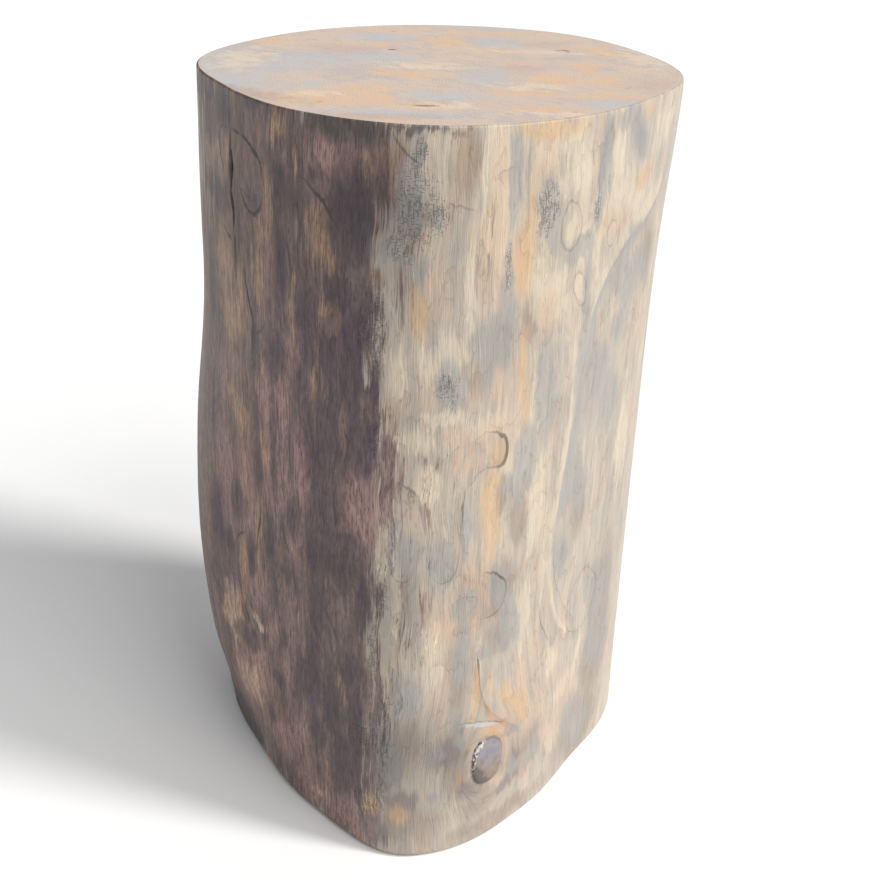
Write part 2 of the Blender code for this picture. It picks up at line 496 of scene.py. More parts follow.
# %% Place the points
SOLE_RINGS = (0.97, 0.90, 0.75, 0.50, 0.22)
TOP_RINGS = (0.987, 0.96, 0.92, 0.87, 0.82, 0.77, 0.72, 0.67, 0.62, 0.57, 0.52, 0.46, 0.40,
             0.34, 0.28, 0.21, 0.14, 0.07)
LAST_ROW = len(rows) - 1

shape = radius + relief - insets[:, None]
side_x = shape * np.cos(np.radians(ANGLE))
side_y = shape * np.sin(np.radians(ANGLE))
points = [np.stack([side_x, side_y, HEIGHT], axis=-1).reshape(-1, 3)]
for row, rings in ((0, SOLE_RINGS), (LAST_ROW, TOP_RINGS)):
    rim = np.stack([side_x[row], side_y[row], np.full(COLUMNS, rows[row])], axis=-1)
    for fraction in rings:
        points.append(rim * (fraction, fraction, 1.0))
points.append(np.array([[0.0, 0.0, 0.0], [0.0, 0.0, LOG_HEIGHT]]))
points = np.concatenate(points)
flank_count = COLUMNS * len(rows)
top_start = flank_count + COLUMNS * len(SOLE_RINGS)
print("points", len(points), "of them on the flank", flank_count)

# %% Join them with faces
column = np.arange(COLUMNS)
following = (column + 1) % COLUMNS
quads = []
for row in range(LAST_ROW):
    low, high = row * COLUMNS, (row + 1) * COLUMNS
    quads.append(np.stack([low + column, low + following, high + following, high + column], 1))
side_faces = COLUMNS * LAST_ROW
fans = []
for outer, inner, rings, centre in (
    (0, flank_count, SOLE_RINGS, len(points) - 2),
    (LAST_ROW * COLUMNS, top_start, TOP_RINGS, len(points) - 1),
):
    upwards = outer > 0
    for _ in rings:
        strip = np.stack([outer + column, outer + following, inner + following, inner + column], 1)
        quads.append(strip if upwards else strip[:, ::-1])
        outer, inner = inner, inner + COLUMNS
    fan = np.stack([outer + column, outer + following, np.full(COLUMNS, centre)], 1)
    fans.append(fan if upwards else fan[:, ::-1])
all_faces = np.concatenate(quads).tolist() + np.concatenate(fans).tolist()

skin_mesh = bpy.data.meshes.new("weathered_log")
skin_mesh.from_pydata(points.tolist(), [], all_faces)
skin_mesh.polygons.foreach_set("use_smooth", np.ones(len(all_faces), bool))
end_face = skin_mesh.attributes.new("end_face", "BOOLEAN", "FACE")
end_face.data.foreach_set("value", np.arange(len(all_faces)) >= side_faces)
log_skin = bpy.data.objects.new("weathered_log", skin_mesh)
scene.collection.objects.link(log_skin)
print("triangles", sum(len(face) - 2 for face in all_faces))


# %% Give the points their fields
def keep(name, flank_values, top_values=0.0):
    """Stores a number for every point: the flank's own, and one set for the sawn top."""
    values = np.zeros(len(points))
    values[:flank_count] = flank_values.reshape(-1)
    values[top_start:] = top_values
    attribute = skin_mesh.attributes.new(name, "FLOAT", "POINT")
    attribute.data.foreach_set("value", values)


# The relief keeps off the two rims, over these heights, and off the knots
FOOT_CALM = 0.008
TOP_CALM = 0.006

grain_values = points.copy()
grain_values[:flank_count] = grain.reshape(-1, 3)
grain_attribute = skin_mesh.attributes.new("grain", "FLOAT_VECTOR", "POINT")
grain_attribute.data.foreach_set("vector", grain_values.reshape(-1))
rim_room = ease(0.0, FOOT_CALM, HEIGHT) * (1.0 - ease(LOG_HEIGHT - TOP_CALM, LOG_HEIGHT, HEIGHT))
keep("relief_room", rim_room * ease(1.0, 1.5, knot_reach))
keep("knot_reach", knot_reach, FAR_AWAY)
keep("split", np.clip(1.6 - split_reach, 0.0, 1.0) * (opening + pit > 0.05))
keep("split_shade", split_shade)
keep("scar_up", np.clip(scar_up / scar_half_height, -1.0, 1.0))
keep("knot_side", np.clip(knot_side, -3.0, 3.0))
keep("knot_up", np.clip(knot_up, -3.0, 3.0))
keep("scar", np.clip(1.5 - scar_reach, 0.0, 1.0))
print("fields:", [attribute.name for attribute in skin_mesh.attributes][:8])

# %% [markdown]
# ## Stains, laid one by one
#
# Weather and fungus stain peeled wood in patches that run along the grain: slate and plum where
# damp sat, amber where resin or rust did, cream where the wood was scraped clean. Each row below
# is one soft oval: where it is, how big it is and how far it leans. An oval only says how much
# stain there is. The finish further on tears its edge along the fibres, which a painted outline
# could never do, and it stays sharp however close the camera comes.

# %% The flank's dark stains
# Compass angle, height in metres, half width and half height in millimetres, lean in degrees.
# Dusk is the ground of the dim side, and the others lie on it or at the foot of the bright side.
STAINS = {
    "dusk": (
        (230, .470, 70, 44, 0), (222, .24, 115, 330, 0), (248, .10, 40, 150, 0),
        (250, .22, 33, 90, 0), (246, .34, 40, 80, 0), (244, .45, 44, 50, 0),
        (188, .2, 60, 300, 0), (255, .44, 24, 46, 0), (254.5, .37, 19, 50, 0),
        (255, .31, 22, 34, 0), (254, .195, 27, 30, 0),
    ),
    "plum": (
        (256.5, .431, 15, 25, 0), (257.0, .415, 10, 10, 0), (245.6, .447, 5, 6, 0),
        (237.0, .438, 9, 16, 0), (235.8, .393, 6, 20, 0), (226.5, .421, 8, 6, 0),
        (216.5, .400, 5, 22, 0), (203.0, .415, 30, 9, -30), (198.0, .345, 8, 40, 0),
        (224.5, .338, 5, 8, 0), (233.5, .330, 9, 12, 0), (243.0, .355, 6, 22, 0),
        (252.0, .381, 6, 8, 0), (255.0, .335, 11, 28, 0), (258.5, .358, 8, 16, 0),
        (249.5, .345, 5, 16, 0), (241.0, .322, 6, 16, 0), (261.0, .335, 5, 12, 0),
        (224.0, .285, 4, 10, 0), (247.4, .283, 14, 26, 0), (231.0, .262, 3, 26, 0),
        (257.5, .292, 8, 16, 0), (249.0, .240, 11, 22, 0), (252.0, .223, 14, 8, 0),
        (251.0, .204, 20, 16, 0), (237.0, .224, 6, 16, 0), (198.0, .264, 5, 26, 0),
        (224.4, .248, 4, 14, 0), (211.6, .213, 10, 14, 6), (198.5, .193, 9, 22, 6),
        (235.0, .182, 9, 16, 0), (246.0, .168, 11, 18, 0), (205.0, .172, 11, 9, 8),
        (241.0, .110, 16, 30, 4), (249.5, .098, 8, 26, 0), (229.0, .092, 9, 6, 12),
        (244.5, .068, 11, 14, 0), (253.5, .056, 14, 20, 0), (222.5, .057, 5, 10, 12),
        (255.0, .132, 9, 12, 0), (212.0, .104, 18, 7, 12), (211.0, .124, 5, 6, 0),
        (257.5, .100, 6, 30, 0), (200.0, .455, 18, 14, 0), (210.0, .462, 11, 8, 0),
        (228.0, .200, 4, 18, 5), (259.0, .180, 6, 22, 0), (232.5, .128, 5, 16, 4),
        (243.5, .205, 5, 14, 0), (217.5, .176, 4, 14, 8),
    ),
    # Charcoal is partly painted shade: the thin bands just under the top rim, along the foot of the
    # dim side and in the split's pit; its other ovals are dark stain
    "charcoal and shade": (
        (250.0, .4775, 34, 8.5, 0), (212.0, .470, 9, 7, 0), (209.0, .4700, 12, 9, 0),
        (190.0, .4740, 30, 9, 0), (228.0, .4780, 16, 5, 0), (268.0, .4780, 22, 2.5, 0),
        (214.8, .4350, 3, 8, 0), (192.0, .016, 44, 13, 0), (207.0, .012, 16, 9, 0),
        (257.5, .4270, 6, 12, 0),
    ),
    "umber": (
        (270.0, .030, 24, 22, 0), (280.5, .066, 12, 30, 0), (296.0, .012, 46, 8, 0),
        (332.0, .030, 34, 22, 0), (268.0, .200, 7, 30, 0), (288.0, .190, 18, 16, 0),
        (343.0, .380, 12, 22, 0), (342.0, .120, 20, 60, 0), (320.0, .220, 14, 22, 0),
        (280.5, .130, 9, 40, 0), (270.0, .090, 14, 22, 0), (287.5, .036, 14, 13, 0),
        (283.0, .350, 16, 18, 0), (294.5, .240, 5, 14, 0), (292.0, .160, 12, 16, 0),
        (302.0, .060, 22, 16, 0), (266.5, .400, 10, 24, 0), (294.5, .368, 5, 14, 0),
        (264.0, .450, 9, 26, 0),
    ),
    "smoke": (
        (277.5, .080, 13, 17, 0), (269.0, .046, 16, 12, 0), (283.5, .050, 12, 10, 0),
        (265.0, .078, 7, 34, 0), (297.0, .040, 14, 7, 0), (268.4, .430, 12, 17, 0),
        (269.2, .464, 4, 8, 0), (298.6, .0530, 5, 7, 0), (329.5, .460, 8, 12, -20),
        (313.4, .440, 2.5, 16, -6), (315.8, .462, 5, 10, 0), (279.0, .084, 17, 24, 0),
        (264.5, .074, 12, 34, 0), (281.5, .100, 6, 12, 0), (262.5, .020, 10, 12, 0),
        (256.5, .398, 6, 14, 0), (289.5, .255, 4, 10, 0),
    ),
}
print("stains so far:", {name: len(ovals) for name, ovals in STAINS.items()})

# %% The dim side's warm stains
STAINS |= {
    "ochre": (
        (208.0, .374, 13, 22, -3), (213.0, .338, 20, 15, 0), (202.0, .446, 22, 16, 0),
        (207.5, .432, 8, 12, 0), (231.2, .432, 4, 22, 0), (235.6, .468, 12, 12, 0),
        (228.3, .404, 7, 11, 0), (227.0, .373, 9, 22, 0), (218.4, .362, 3, 18, 0),
        (246.6, .416, 7, 15, 0), (249.8, .399, 3, 8, 0), (250.2, .365, 6, 7, 0),
        (233.2, .422, 1.8, 26, 0), (213.7, .277, 15, 14, 0), (227.0, .263, 3.2, 12, 0),
        (212.0, .168, 6, 13, 12), (208.2, .124, 5, 14, 14), (219.8, .1255, 8, 4, -14),
        (222.2, .196, 3, 20, 8), (210.5, .288, 12, 8, 0), (198.5, .318, 3, 12, 0),
        (239.4, .376, 2, 16, 0), (245.2, .310, 2, 18, 0), (216.2, .232, 4, 18, 3),
        (200.0, .110, 8, 9, 20), (240.8, .452, 3, 14, 0), (253.4, .300, 2, 14, 0),
        (213.0, .446, 3, 8, 0), (258.2, .455, 3, 8, 0), (254.4, .112, 2.5, 12, 0),
        (291.4, .0970, 3, 9, -48), (288.0, .1080, 2.2, 12, -24), (281.4, .0600, 5, 9, 0),
        (238.5, .155, 2, 14, 4), (231.8, .170, 2, 14, 5), (252.2, .118, 2, 10, 0),
    ),
    "rose": (
        (212.7, .062, 24, 26, 14), (244.6, .018, 20, 13, 0), (237.0, .058, 8, 13, 4),
        (256.0, .244, 16, 20, 0), (231.5, .248, 14, 28, 0), (228.5, .040, 19, 12, 10),
        (240.5, .268, 7, 24, 0), (228.0, .300, 7, 20, 0), (259.5, .014, 10, 9, 0),
        (221.0, .155, 10, 14, 6), (233.5, .106, 6, 16, 4), (216.0, .226, 14, 26, 0),
        (205.0, .230, 17, 34, 0), (237.0, .200, 6, 16, 0), (226.5, .128, 8, 14, 6),
        (231.0, .390, 7, 30, 0), (240.0, .330, 7, 20, 0), (250.0, .458, 17, 8, 0),
        (204.0, .300, 14, 20, 0), (235.0, .300, 6, 24, 0), (220.0, .100, 12, 12, 12),
    ),
}
print("stains so far:", {name: len(ovals) for name, ovals in STAINS.items()})

# %% The bright side's slate and cream stains
STAINS |= {
    "slate": (
        (268.0, .437, 9, 20, 0), (272.5, .430, 7, 9, 0), (263.5, .412, 11, 10, 0),
        (270.2, .403, 6, 11, 0), (281.4, .185, 9, 8, 0), (276.8, .214, 7, 9, 0),
        (290.2, .192, 6, 13, -14), (296.5, .079, 9, 5, -50), (288.6, .365, 5, 30, 0),
        (312.0, .330, 5, 60, 0), (269.0, .465, 4, 8, 0), (276.0, .333, 9, 14, 0),
        (284.6, .358, 14, 12, 0), (331.0, .372, 34, 26, -20), (323.0, .316, 24, 34, -8),
        (331.0, .290, 20, 20, 0), (314.6, .450, 6, 20, -6), (313.2, .424, 2.6, 8, -4),
        (297.6, .434, 8, 16, -8), (299.2, .415, 4, 11, -10), (330.0, .462, 10, 15, -20),
        (323.0, .474, 16, 5, 0), (296.0, .280, 7, 18, 0), (281.0, .105, 6, 14, 0),
        (293.0, .262, 7, 7, 0), (301.0, .322, 8, 30, 0), (268.3, .226, 10, 18, 0),
        (276.0, .220, 8, 15, 0), (289.6, .199, 4, 10, -12), (282.2, .191, 8, 4, 0),
        (276.5, .083, 11, 15, 0), (282.0, .088, 8, 8, 0), (275.0, .050, 7, 7, 0),
        (268.5, .125, 9, 20, 0), (294.0, .160, 12, 16, 0), (287.4, .148, 5, 4, 0),
        (312.0, .198, 17, 20, -20), (318.0, .240, 16, 18, -10), (306.0, .050, 9, 9, 0),
        (298.0, .047, 7, 8, 0), (330.0, .040, 18, 22, -20), (335.0, .150, 22, 26, -20),
        (280.8, .145, 6, 26, 0), (266.0, .080, 8, 24, 0), (289.0, .450, 3.5, 20, 0),
        (288.5, .402, 2, 12, 0), (306.0, .400, 5, 5, 0), (342.0, .095, 16, 16, -20),
        (309.5, .405, 9, 5, -20), (281.0, .240, 4, 14, 0), (285.0, .340, 5, 10, 0),
        (327.5, .462, 7, 13, -10), (313.8, .464, 3.5, 12, 0), (340.0, .372, 12, 16, -20),
        (334.0, .400, 14, 10, -20), (330.0, .340, 14, 14, -10),
    ),
    "cream": (
        (265.6, .340, 9, 20, 0), (277.0, .352, 15, 12, 0), (326.0, .424, 30, 15, -25),
        (309.0, .3785, 5, 10, -14), (275.0, .313, 16, 5, 0), (319.8, .453, 7, 14, -10),
        (284.8, .437, 8, 40, 0), (344.0, .460, 10, 16, 0), (319.0, .083, 13, 8, 20),
        (342.0, .250, 11, 40, -6), (307.0, .440, 4, 16, -6), (263.2, .222, 4, 18, 0),
        (275.5, .150, 7, 30, 0), (272.5, .270, 8, 10, 0), (296.5, .388, 7, 22, -3),
        (304.8, .418, 4, 8, 0), (318.5, .408, 6, 8, -10), (302.0, .468, 10, 8, 0),
        (300.0, .235, 5, 40, 0), (296.5, .300, 3, 30, 0), (310.0, .120, 9, 16, -20),
        (284.0, .305, 12, 6, 0), (280.0, .380, 3, 30, 0), (270.0, .300, 9, 9, 0),
        (329.0, .105, 4, 20, 12), (315.0, .050, 14, 14, -20), (306.0, .452, 10, 18, 0),
        (312.0, .400, 11, 14, -10), (303.0, .375, 9, 14, 0), (272.0, .345, 8, 14, 0),
        (266.5, .200, 3, 40, 0), (298.0, .170, 8, 24, 0), (296.4, .466, 8, 12, 0),
        (300.4, .441, 8, 7, 0), (219.8, .1245, 8, 3.5, -14), (345.0, .466, 16, 7, 0),
        (320.0, .430, 14, 6, -30), (264.0, .228, 2.5, 12, 0), (304.0, .200, 4, 60, 0),
    ),
}
print("stains so far:", {name: len(ovals) for name, ovals in STAINS.items()})

# %% The bright side's warm stains, and the chatter
# Chatter is no paint: it says where the short dark nicks gather
STAINS |= {
    "amber": (
        (299.0, .4750, 20, 5, 0), (333.5, .473, 10, 4, 0), (269.9, .377, 7, 15, 0),
        (293.4, .424, 3.4, 20, 0), (293.2, .341, 3.6, 17, 0), (286.2, .2535, 7, 22, 0),
        (287.6, .236, 5, 16, 0), (288.4, .284, 5, 7, 0), (294.9, .312, 2.4, 18, 0),
        (284.8, .116, 2, 17, 0), (283.4, .1805, 4, 7, 0), (261.6, .038, 5, 7.5, 0),
        (268.2, .037, 8, 9, 0), (292.6, .407, 6.5, 19, 0), (300.0, .088, 6, 6, 0),
        (290.6, .0870, 7, 5, 0), (285.0, .112, 3, 18, 0), (294.0, .112, 8, 13, -24),
        (298.4, .101, 9, 11, -10), (289.0, .124, 3, 12, -14), (333.5, .4315, 11, 5, 0),
        (284.2, .084, 3, 6, 0),
    ),
    "peach": (
        (296.2, .457, 8, 14, 0), (283.2, .396, 4, 30, 0), (285.5, .420, 5, 40, 0),
        (286.0, .300, 8, 10, 0), (281.5, .285, 9, 10, 0), (298.5, .120, 7, 16, -20),
        (315.0, .060, 24, 16, -15), (330.0, .045, 16, 18, -10), (303.0, .044, 12, 10, 0),
        (322.0, .412, 18, 8, -25), (285.0, .200, 7, 26, 0), (279.0, .300, 10, 6, 0),
        (296.0, .098, 16, 16, 0), (306.0, .085, 18, 18, -10), (322.0, .075, 18, 18, -15),
        (204.0, .115, 10, 20, 0), (290.5, .400, 6, 20, 0), (334.0, .437, 12, 7, 0),
        (272.0, .395, 5, 10, 0), (277.0, .176, 7, 14, 0), (290.2, .088, 5, 3.5, 0),
        (297.5, .452, 4, 22, 0), (287.5, .330, 6, 10, 0), (299.4, .368, 6, 14, 0),
        (296.5, .080, 6, 16, -20), (292.0, .048, 8, 6, 0), (211.0, .062, 18, 15, 20),
        (244.6, .019, 10, 4, 0),
    ),
    "rust": (
        (212.5, .152, 4, 16, 14), (208.6, .116, 5, 14, 18), (215.0, .172, 3, 8, 8),
        (290.8, .0905, 3, 3, 0),
    ),
    "tawny": (
        (278.0, .458, 8, 16, 0), (262.0, .455, 10, 22, 0), (260.5, .395, 9, 8, 0),
        (204, .430, 46, 60, 0), (208, .360, 44, 50, 0), (214, .270, 40, 60, 0),
        (228, .420, 20, 40, 0), (216, .060, 40, 24, 0), (188, .330, 40, 120, 0),
    ),
    "chatter": (
        (268.2, .436, 9, 20, 0), (272.8, .430, 6, 8, 0), (269.0, .464, 4, 8, 0),
        (276.0, .330, 6, 11, 0), (260.4, .362, 7, 26, 0), (263.0, .196, 4, 14, 0),
        (259.8, .088, 8, 12, 0), (264.6, .094, 3, 26, 0), (297.6, .432, 7, 12, 0),
        (312.8, .428, 3, 10, 0), (261.6, .156, 4, 22, 0), (288.4, .402, 2, 10, 0),
        (261.0, .300, 4, 14, 0), (266.0, .414, 8, 10, 0), (264.0, .050, 3, 14, 0),
        (260.0, .040, 7, 8, 0),
    ),
}
print("stains laid by hand:", {name: len(ovals) for name, ovals in STAINS.items()})


# %% Scatter more round the back
# How many, and their mean half width and half height in millimetres
BACK_STAINS = {
    "dusk": (9, 34, 80), "umber": (10, 20, 24), "smoke": (8, 10, 20), "plum": (22, 9, 24),
    "charcoal and shade": (3, 10, 8), "ochre": (16, 8, 24), "rust": (4, 3, 12), "tawny": (5, 24, 50),
    "rose": (8, 14, 22), "slate": (20, 11, 20), "cream": (18, 8, 24), "amber": (12, 5, 20),
    "peach": (8, 7, 20), "chatter": (9, 7, 14),
}
BACK_FROM, BACK_TO = 4.0, 176.0
BACK_LOW, BACK_HIGH = 0.01, 0.47
dice = np.random.default_rng(41)
for name, (count, wide, tall) in BACK_STAINS.items():
    scattered = []
    for _ in range(count):
        size = dice.uniform(0.6, 1.5)
        scattered.append((
            dice.uniform(BACK_FROM, BACK_TO), dice.uniform(BACK_LOW, BACK_HIGH),
            wide * size, tall * size * dice.uniform(0.7, 1.4), dice.uniform(-10, 10),
        ))
    STAINS[name] = STAINS[name] + tuple(scattered)

ragged_across = 0.0018 * wander(HEIGHT + 0.0004 * ANGLE, 21, 0.016)
ragged_up = 0.0050 * wander(ANGLE + 40 * HEIGHT, 22, 2.2)


def amount_of(name):
    """How much of a stain each point of the flank holds: 1 in an oval's middle, a half on its line."""
    most = np.zeros(radius.shape)
    for angle, height, half_width, half_height, lean in STAINS[name]:
        up = HEIGHT - height + ragged_up
        across = across_from(angle) + ragged_across - up * math.tan(math.radians(lean))
        reach = np.hypot(across / (half_width / 1000.0), up / (half_height / 1000.0))
        most = np.maximum(most, np.clip(1.0 - 0.5 * reach, 0.0, 1.0))
    return most


# %% [markdown]
# ## Stains on the sawn top
#
# The top takes the same stains, as wide soft blots, because end grain drinks evenly all round.

# %% The stains on the top
# Place across and back from the middle, half width and half depth, all in millimetres
TOP_STAINS = {
    "amber": (
        (-60, -88, 20, 12), (-32, -92, 14, 16), (-2, -104, 14, 8), (108, -22, 9, 14),
        (76, -22, 12, 18), (104, 84, 16, 7), (50, 66, 16, 7), (12, 96, 14, 22), (-112, 84, 8, 14),
        (100, 20, 8, 14), (40, 140, 20, 10), (-34, 76, 8, 8), (118, 75, 16, 10),
        (65, -106, 20, 8), (-13, -20, 18, 9), (-42, -64, 18, 7), (60, -62, 24, 6),
        (110, -66, 16, 6), (40, 76, 16, 5), (-64, -104, 16, 6),
    ),
    "peach": (
        (0, 20, 16, 30), (-40, -60, 40, 22), (40, -110, 40, 12), (70, 130, 30, 20),
        (-75, 105, 30, 20), (20, 70, 30, 30), (100, -10, 26, 40), (-50, -110, 40, 14),
        (60, 60, 24, 10), (0, -10, 20, 40), (-20, 130, 20, 20), (30, -70, 60, 26),
        (84, -104, 50, 26), (-52, -98, 44, 20), (0, -140, 60, 12), (100, -60, 40, 22),
        (110, 96, 24, 20), (-20, 40, 14, 20), (60, 30, 30, 12), (-100, 60, 20, 12),
    ),
    "slate": (
        (-80, 20, 26, 20), (-34, 30, 22, 18), (32, -20, 14, 26), (96, -92, 9, 10),
        (-100, -10, 24, 26), (40, 100, 16, 18), (-40, 110, 20, 14), (10, -80, 22, 12),
        (-130, 0, 12, 40), (40, 155, 20, 10), (-70, -60, 16, 8), (-118, -50, 20, 24),
        (-20, -128, 40, 7), (120, -84, 14, 12), (-112, -68, 18, 12),
    ),
    "rose": (
        (-60, -108, 18, 8), (60, 100, 30, 12), (60, 20, 20, 20), (-60, 60, 24, 14),
        (130, -30, 14, 24), (-30, -140, 30, 10), (80, 110, 24, 12),
    ),
    "cream": (
        (64, 72, 32, 6), (-120, 10, 14, 30), (80, -118, 30, 6), (140, 60, 14, 30),
        (10, -105, 14, 8), (-6, 10, 20, 10), (60, -44, 22, 8), (-66, -84, 14, 6),
    ),
}
top_x = points[top_start:, 0] * 1000.0
top_y = points[top_start:, 1] * 1000.0
top_ragged = 5.0 * wander(top_x + 0.6 * top_y, 31, 26.0)


def top_amount_of(name):
    """How much of a stain each point of the sawn top holds."""
    most = np.zeros(len(top_x))
    for across, back, half_width, half_depth in TOP_STAINS.get(name, ()):
        reach = np.hypot((top_x - across + top_ragged) / half_width,
                         (top_y - back - top_ragged) / half_depth)
        most = np.maximum(most, np.clip(1.0 - 0.5 * reach, 0.0, 1.0))
    return most


# %% [markdown]
# ## Stained lines and broad shades
#
# Some stains follow a line instead of filling a patch: rust below the crack over the front knot,
# a cream line on the flute's crest that is painted highlight, and slate along its inner side that
# is partly stain and partly painted shade in the hollow. With them every stain is complete, and its
# amount is stored on the points. Broad soft painted shade then crosses all of them, drawing the
# wood darker where less light reaches it, and in a few places painting light instead.

# %% Add the lines of stain, painted highlight and painted shade, and keep every stain
# Compass angle, height and boldness of each corner, down from the crack and away to its right
RUST_LINE = (
    (284.9, .140, 1), (285.6, .126, 1), (286.6, .114, 1), (289.6, .1005, 1), (293.6, .0900, 1),
    (297.6, .0800, 1),
)
CREST_HIGHLIGHT_HALF_WIDTH = 0.0042
FLUTE_SLATE_AND_SHADE_HALF_WIDTH = 0.018
RUST_HALF_WIDTH = 0.0021


def faded(distance, half_width):
    """How much of a stain there is at a distance from its line."""
    return np.clip(1.0 - 0.5 * distance / half_width, 0.0, 1.0)


# The flute's crest is a cream painted highlight, widest at its upper end, and its inner side is
# slate, partly stain and partly painted shade in the hollow
over_edge = ease(0.0006, 0.0030, beside_flute)
crest_highlight_width = CREST_HIGHLIGHT_HALF_WIDTH * (1.0 + 2.2 * ease(0.30, 0.36, HEIGHT))
LINES = {
    "cream": faded(np.abs(beside_flute), crest_highlight_width) * (1.0 - over_edge),
    "rust": faded(np.abs(follow(RUST_LINE)[0]), RUST_HALF_WIDTH),
    "slate": faded(beside_flute, FLUTE_SLATE_AND_SHADE_HALF_WIDTH) * over_edge
             * (flute_fade * ease(0.18, 0.24, HEIGHT)),
}
shares = {}
for name in STAINS:
    amount = np.maximum(amount_of(name), LINES.get(name, 0.0))
    keep(name, amount, top_amount_of(name))
    shares[name] = round(float(amount.mean()), 2)
print("stained share of the flank:", shares)

# %% Paint broad shade, and a little light
# Painted shade: compass angle, height in metres, half width in degrees, half height in millimetres,
# and how much darker the wood is drawn; a negative amount paints light instead
SHADES = (
    (226, .420, 42, 46, .20), (246, .405, 15, 40, .20), (264, .434, 8, 22, .30),
    (198, .365, 9, 62, .26), (250, .195, 17, 26, .18), (257, .110, 14, 50, .12),
    (277, .082, 19, 28, .24), (310, .045, 32, 16, .08), (214, .086, 19, 34, -.26),
    (200, .315, 6, 26, .22), (209, .402, 15, 18, .12), (217, .462, 6, 12, .14),
    (264, .285, 6, 14, -.12), (216, .312, 6, 10, -.12), (288, .190, 26, 30, .06),
    (334, .395, 20, 26, .08), (218, .310, 8, 12, -.10), (251, .262, 10, 26, .05),
    (295, .368, 6, 16, .10),
)
shade = np.zeros(ANGLE.shape)
for angle, height, half_angle, half_height, depth in SHADES:
    far = ((ANGLE - angle) / half_angle) ** 2 + ((HEIGHT - height) * 1000 / half_height) ** 2
    shade += depth * np.exp(-far)
keep("shade", shade)
print("darkest", round(float(shade.max()), 2), "lightest", round(float(shade.min()), 2))

# %% [markdown]
# ## Growth rings, where the saw and the scraper cut through them
#
# Peeling a trunk shaves through its yearly rings at a very low angle, so they show as thin dark
# outlines round islands and in long loops, like the height lines of a map. The boldest ones are
# drawn here as paths. Each point keeps how far it is from the nearest path, and on which side:
# where that distance passes through nothing, the finish draws a hairline.

# %% Bold outlines on the bright side
# Compass angle, height in metres and boldness of each corner
RING_PATHS = (
    ((272.2, .276, .25), (273.6, .283, .30), (277.0, .290, .30), (281.0, .297, .25),
     (285.2, .3025, .40), (288.0, .301, .8), (290.2, .2925, 1.0), (289.8, .283, 1.0),
     (289.0, .2775, .8), (286.4, .278, .5), (284.4, .277, .4), (282.4, .2712, .5),
     (280.7, .2636, .8), (280.0, .256, 1.0), (280.3, .250, .7), (280.0, .235, .25),
     (279.9, .216, .35), (278.5, .2076, .5), (276.2, .2042, .4), (274.2, .209, .2)),
    ((268.0, .2655, .5), (268.9, .256, .3), (266.4, .247, .25), (265.5, .236, .35),
     (265.0, .224, .4), (265.2, .2115, .4), (267.3, .2045, .45), (269.6, .209, .4),
     (270.2, .218, .2)),
    ((267.0, .270, .5), (269.4, .2665, .9), (270.2, .264, .5)),
    ((286.6, .2075, .5), (288.6, .206, .8), (290.4, .201, 1.0), (291.8, .196, .6),
     (292.2, .188, .4), (290.8, .1785, .5), (288.6, .1742, .6), (286.2, .1735, .3)),
    ((278.6, .188, .2), (280.4, .1925, .35), (284.4, .1925, .45), (284.6, .186, .3),
     (281.5, .180, .25), (281.0, .176, .2)),
    ((284.8, .246, .2), (284.7, .225, .3), (284.9, .201, .4)),
    ((284.8, .440, .4), (284.6, .425, .7), (284.2, .408, .8), (283.8, .386, .4)),
    ((283.4, .438, .3), (283.2, .415, .5), (283.0, .395, .3)),
    ((263.4, .476, .5), (265.0, .468, .8), (268.0, .4615, .6)),
    ((275.6, .438, .5), (277.6, .4375, .6), (281.0, .434, .2)),
    ((276.2, .437, .6), (276.0, .428, .4)),
    ((285.4, .4535, .4), (287.8, .457, .4)),
    ((290.4, .370, .2), (290.8, .345, .3), (291.8, .320, .2)),
    ((313.5, .140, .4), (318.0, .128, .5), (324.0, .1215, .5), (329.5, .119, .3)),
    ((308.6, .204, .3), (309.6, .186, .5), (312.0, .168, .5), (317.0, .150, .4), (325.0, .132, .3)),
    ((303.5, .168, .4), (304.6, .154, .6), (307.6, .142, .5), (311.0, .130, .3)),
    ((285.3, .146, .9), (285.6, .136, .8), (286.4, .122, .5), (288.2, .108, .35),
     (291.0, .098, .3), (295.0, .0885, .3), (298.6, .080, .15)),
    ((263.9, .118, .7), (264.5, .103, .9), (264.0, .090, .8), (264.5, .070, .6)),
    ((265.3, .109, .5), (265.7, .096, .7), (265.0, .083, .5)),
)
print("paths so far", len(RING_PATHS))

